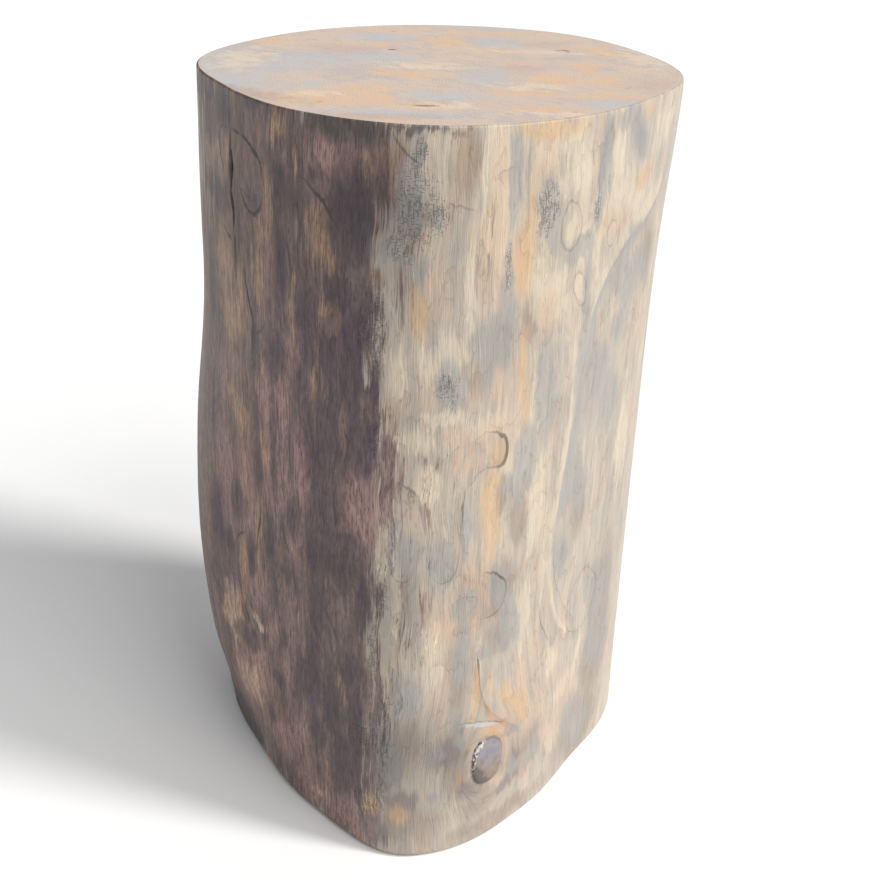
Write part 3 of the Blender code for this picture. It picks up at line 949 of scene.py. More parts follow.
# %% Bold outlines on the dim side
RING_PATHS += (
    ((210.0, .430, .9), (207.8, .437, 1.2), (207.0, .445, 1.1), (207.4, .455, 1.2),
     (210.2, .457, .8), (214.0, .4565, .6), (217.0, .4565, 1.1), (221.5, .457, 1.5),
     (226.0, .4515, 1.5), (228.9, .4445, 1.3), (230.0, .436, .7), (229.8, .427, .5),
     (229.2, .420, .9), (227.6, .415, 1.4), (224.8, .4125, 1.5), (222.0, .4165, 1.3),
     (219.8, .424, 1.0)),
    ((221.5, .424, .8), (224.0, .420, .9), (226.5, .4205, .6)),
    ((233.6, .470, .6), (232.6, .455, .7), (233.4, .436, .7), (233.0, .415, .6), (234.2, .398, .3)),
    ((221.0, .376, 1.1), (222.4, .3615, 1.3), (224.1, .350, 1.4), (224.5, .343, 1.2),
     (222.7, .319, .8), (221.7, .308, .6)),
    ((224.5, .3393, .9), (226.6, .3405, .8), (229.3, .3467, .5)),
    ((207.0, .398, .6), (209.5, .392, 1.1), (213.0, .390, 1.1)),
    ((200.0, .424, .5), (206.0, .418, .6), (212.0, .408, .5)),
    ((206.5, .165, .7), (209.0, .140, 1.0), (213.5, .118, .9), (216.0, .108, .6)),
    ((211.0, .150, .5), (214.5, .134, .8), (219.5, .124, .8), (222.0, .130, .4)),
    ((243.4, .444, .6), (246.0, .437, 1.0), (249.4, .430, 1.1), (251.0, .4225, .6)),
    ((239.6, .300, .4), (240.8, .286, .7), (239.8, .270, .6), (241.0, .252, .4)),
    ((232.8, .342, .5), (236.6, .338, .6), (237.4, .328, .4)),
    ((247.0, .170, .5), (250.6, .160, .8), (252.4, .146, .6), (250.0, .134, .4)),
    ((232.0, .130, .5), (235.0, .117, .7), (239.0, .112, .5)),
    ((224.4, .2185, .8), (223.6, .207, 1.1), (222.0, .196, 1.0), (221.0, .182, .7)),
    ((234.2, .222, .7), (233.8, .211, 1.0), (235.4, .199, .9)),
    ((236.6, .190, .6), (237.4, .180, .9), (237.6, .168, .6)),
    ((208.8, .220, .7), (208.2, .208, 1.0), (209.0, .196, .7)),
    ((251.6, .262, .5), (251.2, .246, .9), (252.0, .226, .6)),
    ((231.4, .262, .5), (230.6, .245, .9), (231.2, .225, .6)),
    ((207.5, .172, .6), (211.0, .184, 1.0), (214.5, .190, .6)),
    ((244.0, .352, .5), (245.6, .340, .9), (244.8, .326, .7)),
    ((238.4, .404, .6), (239.6, .390, 1.0), (238.8, .372, .6)),
    ((250.2, .300, .5), (251.8, .288, .8), (251.0, .272, .5)),
)
print("paths so far", len(RING_PATHS))

# %% Outlines round the back, and loops
RING_PATHS += (
    ((60.0, .310, .5), (66.0, .296, .9), (72.0, .300, .8), (75.0, .318, .5)),
    ((20.0, .130, .5), (24.0, .110, .9), (31.0, .102, .8), (36.0, .112, .5)),
    ((150.0, .260, .5), (154.0, .240, .9), (152.0, .215, .9), (146.0, .200, .5)),
    ((100.0, .420, .5), (108.0, .412, .8), (112.0, .396, .7)),
)
# Compass angle, height in metres, half width and half height in millimetres, lean in degrees
RING_LOOPS = (
    (309.3, .3785, 6.5, 12, -16), (304.8, .417, 7.5, 13.5, 0), (320.4, .406, 7, 8.5, 0),
    (328.0, .143, 24, 24, 0), (224.8, .308, 4.5, 11, 0), (116.0, .300, 24, 33, 0),
    (60.0, .380, 12, 22, 0), (140.0, .120, 14, 30, 0), (30.0, .200, 10, 26, 0),
    (92.0, .170, 9, 18, 0), (160.0, .390, 10, 20, 0),
)
print("paths", len(RING_PATHS), "loops", len(RING_LOOPS))


# %% Measure how far each point is from them
def distance_to_loop(loop):
    """Signed metres from an oval, positive outside."""
    angle, height, half_width, half_height, lean = loop
    up = HEIGHT - height
    across = across_from(angle) - up * math.tan(math.radians(lean))
    ragged = 1.0 + 0.10 * wander(ANGLE + 300 * HEIGHT, int(angle), 4.0)
    reach = np.hypot(across / half_width, up / half_height) * 1000.0 * ragged
    return (reach - 1.0) * min(half_width, half_height) / 1000.0


INK_NEAR = 0.0020
INK_FAR = 0.0050
INK_SHADE_FAR = 0.010
INK_LIMIT = 0.02
LOOP_STRENGTH = 0.45
ink = np.full(radius.shape, INK_LIMIT)
boldness = np.zeros(radius.shape)
for path in RING_PATHS:
    signed, bold = follow(path)
    closer = np.abs(signed) < np.abs(ink)
    ink = np.where(closer, signed, ink)
    boldness = np.where(closer, bold, boldness)
for loop in RING_LOOPS:
    signed = distance_to_loop(loop)
    closer = np.abs(signed) < np.abs(ink)
    boldness = np.where(closer, LOOP_STRENGTH, boldness)
    ink = np.where(closer, signed, ink)
ink_strength = (1.0 - ease(INK_NEAR, INK_FAR, np.abs(ink))) * boldness
keep("ink", np.clip(ink, -INK_LIMIT, INK_LIMIT), INK_LIMIT)
keep("ink_strength", ink_strength)
# ink_shade says how strong the painted shade beside an outline is
keep("ink_shade", boldness * (1.0 - ease(0.0, INK_SHADE_FAR, np.abs(ink))))
print("share of the flank near an outline:", round(float((ink_strength > 0.5).mean()), 3))

# %% [markdown]
# ## Node helpers
#
# Materials and Geometry Nodes are both trees of nodes. Small helpers keep them readable: they add
# a node with its choices and inputs, do sums, make soft steps and noise, and lay colours on.


# %% Helpers that add nodes and do sums
def give(tree, node, inputs):
    """Sets a node's inputs to plain values, or joins them to another node's output."""
    for name, value in inputs.items():
        if isinstance(value, bpy.types.NodeSocket):
            tree.links.new(value, node.inputs[name])
        else:
            node.inputs[name].default_value = value
    return node


def add_node(tree, kind, inputs, **choices):
    """Adds a node with its choices and its inputs."""
    made = tree.nodes.new(kind)
    for choice, value in choices.items():
        setattr(made, choice, value)
    return give(tree, made, inputs)


def calc(tree, operation, first, second=0.0, third=0.0, use_clamp=False):
    """A sum of values that change over the surface."""
    values = {0: first, 1: second, 2: third}
    made = add_node(tree, "ShaderNodeMath", values, operation=operation, use_clamp=use_clamp)
    return made.outputs[0]


def vector_calc(tree, operation, first, second=(0.0, 0.0, 0.0)):
    """A sum of vectors that change over the surface."""
    values = {0: first, 1: second}
    return add_node(tree, "ShaderNodeVectorMath", values, operation=operation).outputs[0]


def length_of(tree, vector):
    """How long a vector is."""
    return add_node(tree, "ShaderNodeVectorMath", {0: vector}, operation="LENGTH").outputs["Value"]


def times(tree, first, second):
    """Two values multiplied."""
    return calc(tree, "MULTIPLY", first, second)


def opposite(tree, value):
    """0 where the value is 1, and 1 where it is 0."""
    return calc(tree, "SUBTRACT", 1.0, value)


def sloped(tree, value, slope, start):
    """The start value, and slope times the value added to it."""
    return calc(tree, "MULTIPLY_ADD", value, slope, start)


def parts(tree, first, first_part, second, second_part):
    """A sum of two values, so much of each."""
    return sloped(tree, first, first_part, times(tree, second, second_part))


def soft_step(tree, value, low, high):
    """0 below low, 1 above high, a smooth step between."""
    values = {"Value": value, "From Min": low, "From Max": high}
    step = add_node(tree, "ShaderNodeMapRange", values, interpolation_type="SMOOTHSTEP")
    return step.outputs["Result"]


def band(tree, value, middle, near, far):
    """1 where the value is within near of the middle, and softly down to 0 beyond far."""
    gap = calc(tree, "ABSOLUTE", calc(tree, "SUBTRACT", value, middle))
    return opposite(tree, soft_step(tree, gap, near, far))


# %% Helpers for noise and colours
def stretched(tree, vector, across, along):
    """Measures wood coordinates in units that are across wide and along tall, in metres."""
    return vector_calc(tree, "MULTIPLY", vector, (1.0 / across, 1.0 / across, 1.0 / along))


def scaled_size(tree, vector, across, along):
    """Measures a vector in units whose sizes are themselves sockets."""
    size = add_node(tree, "ShaderNodeCombineXYZ", {0: across, 1: across, 2: along}).outputs[0]
    return vector_calc(tree, "DIVIDE", vector, size)


def cloudy(tree, vector, detail=2.0, rough=0.5, seed=0.0):
    """Soft random values round 0.5."""
    values = {"Vector": vector, "W": seed, "Scale": 1.0, "Detail": detail, "Roughness": rough}
    return add_node(tree, "ShaderNodeTexNoise", values, noise_dimensions="4D").outputs[0]


def stretch_out(tree, value, contrast):
    """Spreads noise, which keeps close to a half, over the whole way from 0 to 1."""
    moved = calc(tree, "SUBTRACT", value, 0.5)
    return calc(tree, "MULTIPLY_ADD", moved, contrast, 0.5, use_clamp=True)


def blotches(tree, vector, sizes, detail, rough, seed, contrast):
    """Noise from 0 to 1 in blotches of two sizes, across and along, in metres."""
    clouds = cloudy(tree, stretched(tree, vector, *sizes), detail, rough, seed)
    return stretch_out(tree, clouds, contrast)


def over(tree, mask, below, above, how="MIX"):
    """Lays one colour over another where the mask says so."""
    made = add_node(tree, "ShaderNodeMix", {}, data_type="RGBA", blend_type=how)
    return give(tree, made, {0: mask, 6: below, 7: above}).outputs[2]


def tint(tree, below, mask, strength, above):
    """Lays one colour over another where the mask says so, and never stronger than strength."""
    return over(tree, times(tree, mask, strength), below, above)


def shaded(tree, below, value):
    """Makes a colour darker where the value is under 1, and lighter where it is over 1."""
    grey = add_node(tree, "ShaderNodeCombineColor", {0: value, 1: value, 2: value}).outputs[0]
    return over(tree, 1.0, below, grey, "MULTIPLY")


def paint(red, green, blue):
    """A colour as a screen shows it, 0 to 255, turned into the light it sends back."""
    light = []
    for value in (red / 255.0, green / 255.0, blue / 255.0):
        light.append(value / 12.92 if value <= 0.04045 else ((value + 0.055) / 1.055) ** 2.4)
    return (*light, 1.0)


# %% Helpers for node groups
def new_group(name, inputs, outputs):
    """An empty node group with named sockets: {name: default}, and names put out."""
    group = bpy.data.node_groups.new(name, "ShaderNodeTree")
    kinds = {float: "NodeSocketFloat", tuple: "NodeSocketVector"}
    for socket, value in inputs.items():
        made = group.interface.new_socket(socket, in_out="INPUT", socket_type=kinds[type(value)])
        if isinstance(value, float):
            made.default_value = value
    for socket in outputs:
        group.interface.new_socket(socket, in_out="OUTPUT", socket_type="NodeSocketFloat")
    start = group.nodes.new("NodeGroupInput").outputs
    end = group.nodes.new("NodeGroupOutput").inputs
    return group, start, end


def use_group(tree, group, inputs):
    """Places a node group: its sockets exist only once the group is set."""
    made = tree.nodes.new("ShaderNodeGroup")
    made.node_tree = group
    return give(tree, made, inputs).outputs


# %% [markdown]
# ## Relief along the grain
#
# Wood that has weathered isn't smooth: soft spring wood wears away between harder bands and
# leaves shallow furrows, with a finer ripple on them. That is a rule over the whole surface, so
# Geometry Nodes make it: noise that is stretched along the wood coordinates pushes each point
# in or out a little. Its middle is lifted back by the mean, so the log keeps its girth, and the
# few points that would leave the CAD box are laid back on it afterwards.

# %% Build the relief tree
relief_tree = bpy.data.node_groups.new("wood relief", "GeometryNodeTree")
RELIEF_INPUTS = (
    ("Furrow depth", 0.0014), ("Furrow width", 0.011), ("Furrow length", 0.12),
    ("Ripple depth", 0.0006), ("Ripple width", 0.0036), ("Ripple length", 0.04),
    ("Lift", 0.0010), ("Seed", 7.0),
)
relief_tree.interface.new_socket("Log", in_out="INPUT", socket_type="NodeSocketGeometry")
for name, value in RELIEF_INPUTS:
    socket = relief_tree.interface.new_socket(name, in_out="INPUT", socket_type="NodeSocketFloat")
    socket.default_value = value
for name in ("Flank finish", "Sawn finish"):
    relief_tree.interface.new_socket(name, in_out="INPUT", socket_type="NodeSocketMaterial")
relief_tree.interface.new_socket("Log", in_out="OUTPUT", socket_type="NodeSocketGeometry")
given = relief_tree.nodes.new("NodeGroupInput").outputs


def stored(name, kind):
    """Reads one of the skin's own fields in the relief tree."""
    made = add_node(relief_tree, "GeometryNodeInputNamedAttribute", {"Name": name}, data_type=kind)
    return made.outputs["Attribute"]


wood_place = stored("grain", "FLOAT_VECTOR")
inward = 0.0
for wave in ("Furrow", "Ripple"):
    place = scaled_size(relief_tree, wood_place, given[wave + " width"], given[wave + " length"])
    height = cloudy(relief_tree, place, seed=given["Seed"])
    inward = sloped(relief_tree, height, given[wave + " depth"], inward)
inward = calc(relief_tree, "SUBTRACT", inward, given["Lift"])
inward = times(relief_tree, inward, stored("relief_room", "FLOAT"))
outward = relief_tree.nodes.new("GeometryNodeInputNormal").outputs[0]
push = add_node(relief_tree, "ShaderNodeVectorMath",
                {0: outward, "Scale": times(relief_tree, inward, -1.0)},
                operation="SCALE").outputs[0]
moved = add_node(relief_tree, "GeometryNodeSetPosition", {"Geometry": given["Log"], "Offset": push})
real = add_node(relief_tree, "GeometryNodeRealizeInstances", {"Geometry": moved.outputs[0]})
flank_done = add_node(relief_tree, "GeometryNodeSetMaterial",
                      {"Geometry": real.outputs[0], "Material": given["Flank finish"]})
both_done = add_node(relief_tree, "GeometryNodeSetMaterial",
                     {"Geometry": flank_done.outputs[0], "Material": given["Sawn finish"],
                      "Selection": stored("end_face", "BOOLEAN")})
relief_end = relief_tree.nodes.new("NodeGroupOutput")
relief_tree.links.new(both_done.outputs[0], relief_end.inputs[0])
print("relief tree nodes:", len(relief_tree.nodes))

# %% [markdown]
# ## Effects that both finishes share
#
# The flank and the sawn top are the same wood, so what they share is made once, as node groups:
# fibres and stains with torn edges. Cut rings and hairlines are groups too, so that the flank's
# own tree stays short. A group only puts out values. The shader itself stays in each material,
# where the export can read it.

# %% Group: fibres
fibres, start, end = new_group(
    "wood fibres", {"Grain": (), "Width": 0.0011, "Length": 0.035, "Seed": 0.0},
    ("Fibre", "Streak", "Cloud", "Pores"),
)
# What it puts out, how much wider and longer than a fibre, detail, roughness and contrast
FIBRE_KINDS = (
    ("Fibre", 1.0, 1.0, 3.0, 0.65, 2.4), ("Streak", 4.6, 2.2, 3.0, 0.62, 2.8),
    ("Cloud", 24.0, 2.6, 4.0, 0.62, 2.6), ("Pores", 0.62, 0.2, 1.0, 0.5, 1.6),
)
for socket, wider, longer, detail, rough, contrast in FIBRE_KINDS:
    across = times(fibres, start["Width"], wider)
    along = times(fibres, start["Length"], longer)
    place = scaled_size(fibres, start["Grain"], across, along)
    seed = calc(fibres, "ADD", start["Seed"], wider)
    value = stretch_out(fibres, cloudy(fibres, place, detail, rough, seed), contrast)
    fibres.links.new(value, end[socket])
print("group nodes:", len(fibres.nodes))

# %% Group: torn stain
torn, start, end = new_group(
    "torn stain",
    {"Amount": 0.0, "Fibre": 0.5, "Cloud": 0.5, "Tear": 0.9, "Drift": 0.9, "Blur": 0.16},
    ("Mask",),
)
torn_by = times(torn, calc(torn, "SUBTRACT", start["Fibre"], 0.5), start["Tear"])
drifts = times(torn, calc(torn, "SUBTRACT", start["Cloud"], 0.5), start["Drift"])
# An edge can move only where the amount is between none and all
edge = times(torn, start["Amount"], opposite(torn, start["Amount"]))
moved = times(torn, calc(torn, "ADD", torn_by, drifts), times(torn, edge, 4.0))
amount = calc(torn, "ADD", start["Amount"], moved)
low = calc(torn, "SUBTRACT", 0.5, start["Blur"])
high = calc(torn, "ADD", 0.5, start["Blur"])
torn.links.new(soft_step(torn, amount, low, high), end["Mask"])
print("group nodes:", len(torn.nodes))

# %% Group: cut rings
cut_rings, start, end = new_group(
    "cut rings", {"Field": 0.5, "Break": 0.5, "Line width": 0.05}, ("Line", "Shade"),
)
year = calc(cut_rings, "FRACT", start["Field"])
from_middle = calc(cut_rings, "ABSOLUTE", calc(cut_rings, "SUBTRACT", year, 0.5))
from_edge = calc(cut_rings, "SUBTRACT", 0.5, from_middle)
line = opposite(cut_rings, soft_step(cut_rings, from_edge, 0.0, start["Line width"]))
unbroken = soft_step(cut_rings, start["Break"], 0.25, 0.7)
cut_rings.links.new(times(cut_rings, line, unbroken), end["Line"])
cut_rings.links.new(calc(cut_rings, "POWER", opposite(cut_rings, year), 4.0), end["Shade"])
print("group nodes:", len(cut_rings.nodes))

# %% Group: hairline
hairline, start, end = new_group(
    "hairline", {"Distance": 0.02, "Strength": 0.0, "Width": 0.0005, "Break": 0.5}, ("Line",),
)
near = calc(hairline, "ABSOLUTE", start["Distance"])
width = times(hairline, start["Width"], calc(hairline, "ADD", start["Break"], 0.5))
line = opposite(hairline, soft_step(hairline, near, times(hairline, width, 0.4), width))
line = times(hairline, line, start["Strength"])
unbroken = soft_step(hairline, start["Break"], 0.0, 0.35)
hairline.links.new(times(hairline, line, unbroken), end["Line"])
print("group nodes:", len(hairline.nodes))

# %% [markdown]
# ## The flank's finish
#
# The paints go on as they lie on the wood: pale heartwood first, then the dusky weathered side,
# then each stain, then fibres and a broad painted shade that darken and lighten everything under
# them, and last the short dark nicks, the hairlines with painted shade along their inner side, the
# knots with painted shade in their gaps, and the split with painted shade in it. A thin coat gives
# the low sheen of a wiped-on finish, and the fibres roughen it.

# %% The paints
# Red, green and blue as a screen shows them
FLANK_COLOURS = {
    "pale": (182, 170, 154), "grey": (164, 154, 144), "dusk": (126, 104, 98),
    "dusk deep": (92, 75, 79), "rose": (160, 126, 119), "ochre": (168, 137, 110),
    "cream": (200, 187, 165), "peach": (192, 165, 142), "amber": (193, 160, 120),
    "slate": (148, 147, 144), "plum": (68, 55, 66), "umber": (144, 131, 121),
    "smoke": (112, 103, 104), "tawny": (130, 103, 80), "rust": (178, 134, 98),
    "charcoal and shade": (70, 65, 68), "ink": (88, 70, 60), "pore": (60, 48, 46), "nick": (84, 87, 95),
    "knot": (134, 127, 134), "knot brown": (136, 119, 102), "knot dark": (92, 84, 82),
    # Gap is painted shade for the knots' gaps and the split, and the dark of the ring outlines too
    "knot ring": (196, 160, 124), "gap": (42, 32, 28), "chip": (208, 206, 200),
    "scar": (176, 178, 176), "split shade": (84, 70, 62),
}
PAINTS = {name: paint(*shown) for name, shown in FLANK_COLOURS.items()}
print("paints", len(PAINTS))

# %% Start the flank's finish
flank_finish = bpy.data.materials.new("weathered wood")
flank_finish.use_nodes = True
tree = flank_finish.node_tree
shader = tree.nodes["Principled BSDF"]


def field(name):
    """Reads one of the skin's own fields."""
    made = tree.nodes.new("ShaderNodeAttribute")
    made.attribute_name = name
    return made.outputs["Vector" if name == "grain" else "Fac"]


def fibres_of(width, length, seed):
    """The fibre group at one size of fibre."""
    return use_group(tree, fibres, {"Grain": field("grain"), "Width": width, "Length": length,
                                    "Seed": seed})


wood = fibres_of(0.0009, 0.026, 0.0)
wide_wood = fibres_of(0.0024, 0.06, 3.0)
side_wood = fibres_of(0.0013, 0.03, 11.0)
fibre, streak, cloud = wood["Fibre"], wood["Streak"], wood["Cloud"]
ragged = parts(tree, streak, 0.5, fibre, 0.5)
mixed = parts(tree, ragged, 0.5, cloud, 0.5)
colour = over(tree, soft_step(tree, mixed, 0.2, 0.8), PAINTS["grey"], PAINTS["pale"])
blush = parts(tree, side_wood["Cloud"], 0.7, side_wood["Streak"], 0.3)
bleach = parts(tree, side_wood["Streak"], 0.6, wide_wood["Cloud"], 0.4)
for where, low, high, strength, name in (
    (blush, 0.50, 0.72, 0.45, "peach"), (bleach, 0.56, 0.78, 0.36, "cream"),
    (opposite(tree, bleach), 0.58, 0.80, 0.35, "slate"),
):
    colour = tint(tree, colour, soft_step(tree, where, low, high), strength, PAINTS[name])
print("nodes so far:", len(tree.nodes))


# %% Lay the stains
def stain(name, below, strength, tear, drift, blur, deep=None):
    """Lays one stain over the colour below, and returns the new colour and the mask."""
    sockets = {"Amount": field(name), "Fibre": ragged, "Cloud": wide_wood["Cloud"],
               "Tear": tear, "Drift": drift, "Blur": blur}
    mask = use_group(tree, torn, sockets)["Mask"]
    above = PAINTS[name]
    if deep:
        above = over(tree, soft_step(tree, wide_wood["Streak"], 0.15, 0.85), PAINTS[deep], above)
    return tint(tree, below, mask, strength, above), mask


colour = stain("umber", colour, 0.8, 0.8, 0.8, 0.3)[0]
colour, dusk_mask = stain("dusk", colour, 0.98, 0.7, 0.35, 0.10, "dusk deep")
for where, high, strength, name in (
    (side_wood["Streak"], 0.85, 0.18, "ochre"), (side_wood["Cloud"], 0.80, 0.5, "dusk deep"),
):
    streaks = times(tree, soft_step(tree, where, 0.55, high), times(tree, dusk_mask, strength))
    colour = over(tree, streaks, colour, PAINTS[name])
# Strength, how far fibres tear its edge, how far it drifts, and how soft its edge is
STAIN_LOOKS = {
    "tawny": (0.48, 0.6, 0.9, 0.3), "rose": (0.70, 0.9, 0.9, 0.4), "ochre": (0.72, 0.9, 0.9, 0.24),
    "smoke": (0.62, 0.8, 0.8, 0.2), "cream": (0.65, 0.9, 0.7, 0.2), "peach": (0.55, 1.0, 0.7, 0.25),
    "amber": (0.62, 0.8, 0.7, 0.25), "rust": (0.48, 0.8, 0.8, 0.4), "slate": (0.70, 0.8, 0.8, 0.16),
    "plum": (0.72, 0.95, 0.95, 0.30), "charcoal and shade": (0.78, 0.8, 0.5, 0.25),
}
for name, looks in STAIN_LOOKS.items():
    colour = stain(name, colour, *looks)[0]
print("nodes so far:", len(tree.nodes))

# %% Fibres and pores, both deeper on the dusky side
fibre_depth = sloped(tree, dusk_mask, 1.05, 0.07)
light_or_dark = sloped(tree, calc(tree, "SUBTRACT", fibre, 0.5), fibre_depth, 1.0)
mottle = blotches(tree, field("grain"), (0.0026, 0.0085), 3.0, 0.65, 17.0, 2.4)
mottle_depth = sloped(tree, dusk_mask, 0.80, 0.06)
light_or_dark = sloped(tree, calc(tree, "SUBTRACT", mottle, 0.5), mottle_depth, light_or_dark)
light_or_dark = times(tree, light_or_dark, sloped(tree, streak, 0.12, 0.94))
# The broad painted shade darkens everything laid so far, and its negative ovals paint light
light_or_dark = times(tree, light_or_dark, opposite(tree, field("shade")))
colour = shaded(tree, colour, light_or_dark)
more_pores = sloped(tree, dusk_mask, 0.11, wood["Pores"])
pores = soft_step(tree, more_pores, 0.72, 0.88)
colour = tint(tree, colour, pores, sloped(tree, dusk_mask, 0.50, 0.26), PAINTS["pore"])
print("nodes so far:", len(tree.nodes))

# %% Short dark nicks, most where the scraper chattered
chatter_field = sloped(tree, field("chatter"), 0.18, -0.14)
cross_cuts = blotches(tree, field("grain"), (0.0019, 0.0006), 1.0, 0.5, 4.0, 1.6)
both_cuts = calc(tree, "MAXIMUM", wood["Pores"], calc(tree, "SUBTRACT", cross_cuts, 0.03))
nicks = soft_step(tree, calc(tree, "ADD", both_cuts, chatter_field), 0.58, 0.74)
nick_room = soft_step(tree, sloped(tree, cloud, 0.5, field("chatter")), 0.4, 0.9)
nicks = times(tree, nicks, nick_room)
colour = tint(tree, colour, nicks, 0.50, PAINTS["nick"])
print("nodes so far:", len(tree.nodes))

# %% Outlines of the rings
OUTLINE_SHIFT = 0.00235
wander_by = parts(tree, cloud, 0.0035, streak, 0.0012)
ink_distance = calc(tree, "ADD", field("ink"), wander_by)
ink_distance = calc(tree, "SUBTRACT", ink_distance, OUTLINE_SHIFT)
ink_width = sloped(tree, field("ink_strength"), 0.0011, 0.0003)
outline = use_group(tree, hairline, {"Distance": ink_distance, "Strength": field("ink_strength"),
                                     "Width": ink_width, "Break": wide_wood["Streak"]})["Line"]
# Painted shade along the inner side of each outline, as if a low step of the cut ring ran there
step_shade = soft_step(tree, ink_distance, -0.0004, 0.0006)
step_shade = times(tree, step_shade, field("ink_shade"))
colour = tint(tree, colour, step_shade, 0.22, PAINTS["smoke"])
outline_depth = calc(tree, "MULTIPLY_ADD", field("ink_strength"), 0.36, 0.38, use_clamp=True)
colour = tint(tree, colour, outline, outline_depth, PAINTS["gap"])
rings = parts(tree, wide_wood["Cloud"], 4.2, cloud, 1.0)
rings = sloped(tree, fibre, 0.10, rings)
ring_marks = use_group(tree, cut_rings, {"Field": rings, "Break": side_wood["Cloud"]})
colour = tint(tree, colour, ring_marks["Shade"], 0.14, PAINTS["ink"])
colour = tint(tree, colour, ring_marks["Line"], 0.20, PAINTS["gap"])
print("nodes so far:", len(tree.nodes))

# %% The knots' discs
reach = field("knot_reach")
knot_rough = sloped(tree, streak, 0.08, calc(tree, "SUBTRACT", reach, 0.04))
ring_band = calc(tree, "SUBTRACT", soft_step(tree, knot_rough, 0.98, 1.06),
                 soft_step(tree, knot_rough, 1.10, 1.60))
to_upper_right = calc(tree, "ADD", field("knot_side"), field("knot_up"))
to_upper_right = soft_step(tree, to_upper_right, 0.2, 1.6)
ring_band = times(tree, ring_band, sloped(tree, to_upper_right, 0.45, 0.06))
colour = over(tree, ring_band, colour, PAINTS["knot ring"])
knot_place = tree.nodes.new("ShaderNodeTexCoord").outputs["Object"]
knot_clouds = blotches(tree, knot_place, (0.009, 0.009), 3.0, 0.6, 4.0, 2.4)
upper = calc(tree, "SUBTRACT", field("knot_up"), 0.4)
upper = soft_step(tree, sloped(tree, knot_clouds, 1.0, upper), -0.45, 0.35)
knot_paint = over(tree, upper, PAINTS["knot brown"], PAINTS["knot"])
low_left = times(tree, field("knot_side"), -1.0)
low_left = calc(tree, "SUBTRACT", low_left, field("knot_up"))
low_left = soft_step(tree, sloped(tree, knot_clouds, 0.6, low_left), 0.75, 1.15)
knot_paint = over(tree, low_left, knot_paint, PAINTS["knot dark"])
knot_spots = blotches(tree, knot_place, (0.0045, 0.0045), 3.0, 0.6, 14.0, 2.4)
knot_paint = shaded(tree, knot_paint, sloped(tree, knot_spots, 0.30, 0.78))
in_knot = opposite(tree, soft_step(tree, knot_rough, 0.93, 0.99))
colour = over(tree, in_knot, colour, knot_paint)
print("nodes so far:", len(tree.nodes))

# %% The knots' gaps and chips
# Painted shade in the fine gap round each knot, deepest on the knot's left, away from the lamps
gap = band(tree, knot_rough, 0.97, 0.02, 0.07)
to_left = soft_step(tree, times(tree, field("knot_side"), -1.0), 0.2, 0.8)
gap = times(tree, gap, sloped(tree, to_left, 0.15, 0.42))
colour = over(tree, gap, colour, PAINTS["gap"])
chips = blotches(tree, knot_place, (0.0022, 0.0026), 2.0, 0.6, 6.0, 3.0)
chip_edge = sloped(tree, chips, 0.16, calc(tree, "SUBTRACT", reach, 0.08))
chip_band = band(tree, chip_edge, 0.93, 0.05, 0.13)
upper_left = calc(tree, "ADD", times(tree, field("knot_side"), -0.85),
                  times(tree, field("knot_up"), 0.5))
chip_band = times(tree, chip_band, soft_step(tree, upper_left, 0.55, 0.85))
for where, low, high, strength, name in (
    (chips, 0.45, 0.65, 0.85, "chip"), (opposite(tree, chips), 0.55, 0.75, 0.80, "gap"),
):
    chipped = times(tree, chip_band, soft_step(tree, where, low, high))
    colour = tint(tree, colour, chipped, strength, PAINTS[name])
print("nodes so far:", len(tree.nodes))

# %% The split and the scar
near_split = soft_step(tree, sloped(tree, ragged, 0.25, field("split_shade")), 0.25, 1.1)
colour = tint(tree, colour, near_split, 0.55, PAINTS["split shade"])
# Painted shade: the split is drawn near black, as a deep narrow crack lies in shade
split_inside_shade = soft_step(tree, sloped(tree, streak, 0.2, field("split")), 0.45, 0.75)
colour = over(tree, split_inside_shade, colour, PAINTS["gap"])
in_scar = soft_step(tree, sloped(tree, streak, 0.5, field("scar")), 0.7, 1.1)
colour = tint(tree, colour, in_scar, 0.7, PAINTS["scar"])
scar_line = band(tree, field("scar"), 0.42, 0.05, 0.20)
scar_line = times(tree, scar_line, soft_step(tree, field("scar_up"), -0.2, 0.3))
colour = tint(tree, colour, scar_line, 0.5, PAINTS["nick"])
print("nodes so far:", len(tree.nodes))

# %% The flank's sheen and fine relief
FLANK_GROOVES = 0.0011
grooves = parts(tree, fibre, 0.25, streak, 0.3)
grooves = calc(tree, "SUBTRACT", grooves, times(tree, nicks, 0.5))
flank_bump = add_node(tree, "ShaderNodeBump", {"Strength": 1.0, "Distance": FLANK_GROOVES,
                                               "Height": grooves})
give(tree, shader, {
    "Base Color": colour, "Roughness": sloped(tree, fibre, 0.30, 0.36), "Coat Weight": 0.12,
    "Coat Roughness": 0.32, "Specular IOR Level": 0.4, "Normal": flank_bump.outputs[0],
})
print("flank finish nodes:", len(tree.nodes))

# %% [markdown]
# ## The sawn top's finish
#
# End grain shows its rings as circles round the pith. Here a thick finish and fine sanding hide
# most of them, and wide blots of peach, grey and amber are what is left. It is smoother than the
# flank, so it takes more coat, and looks hazy where the light grazes it.

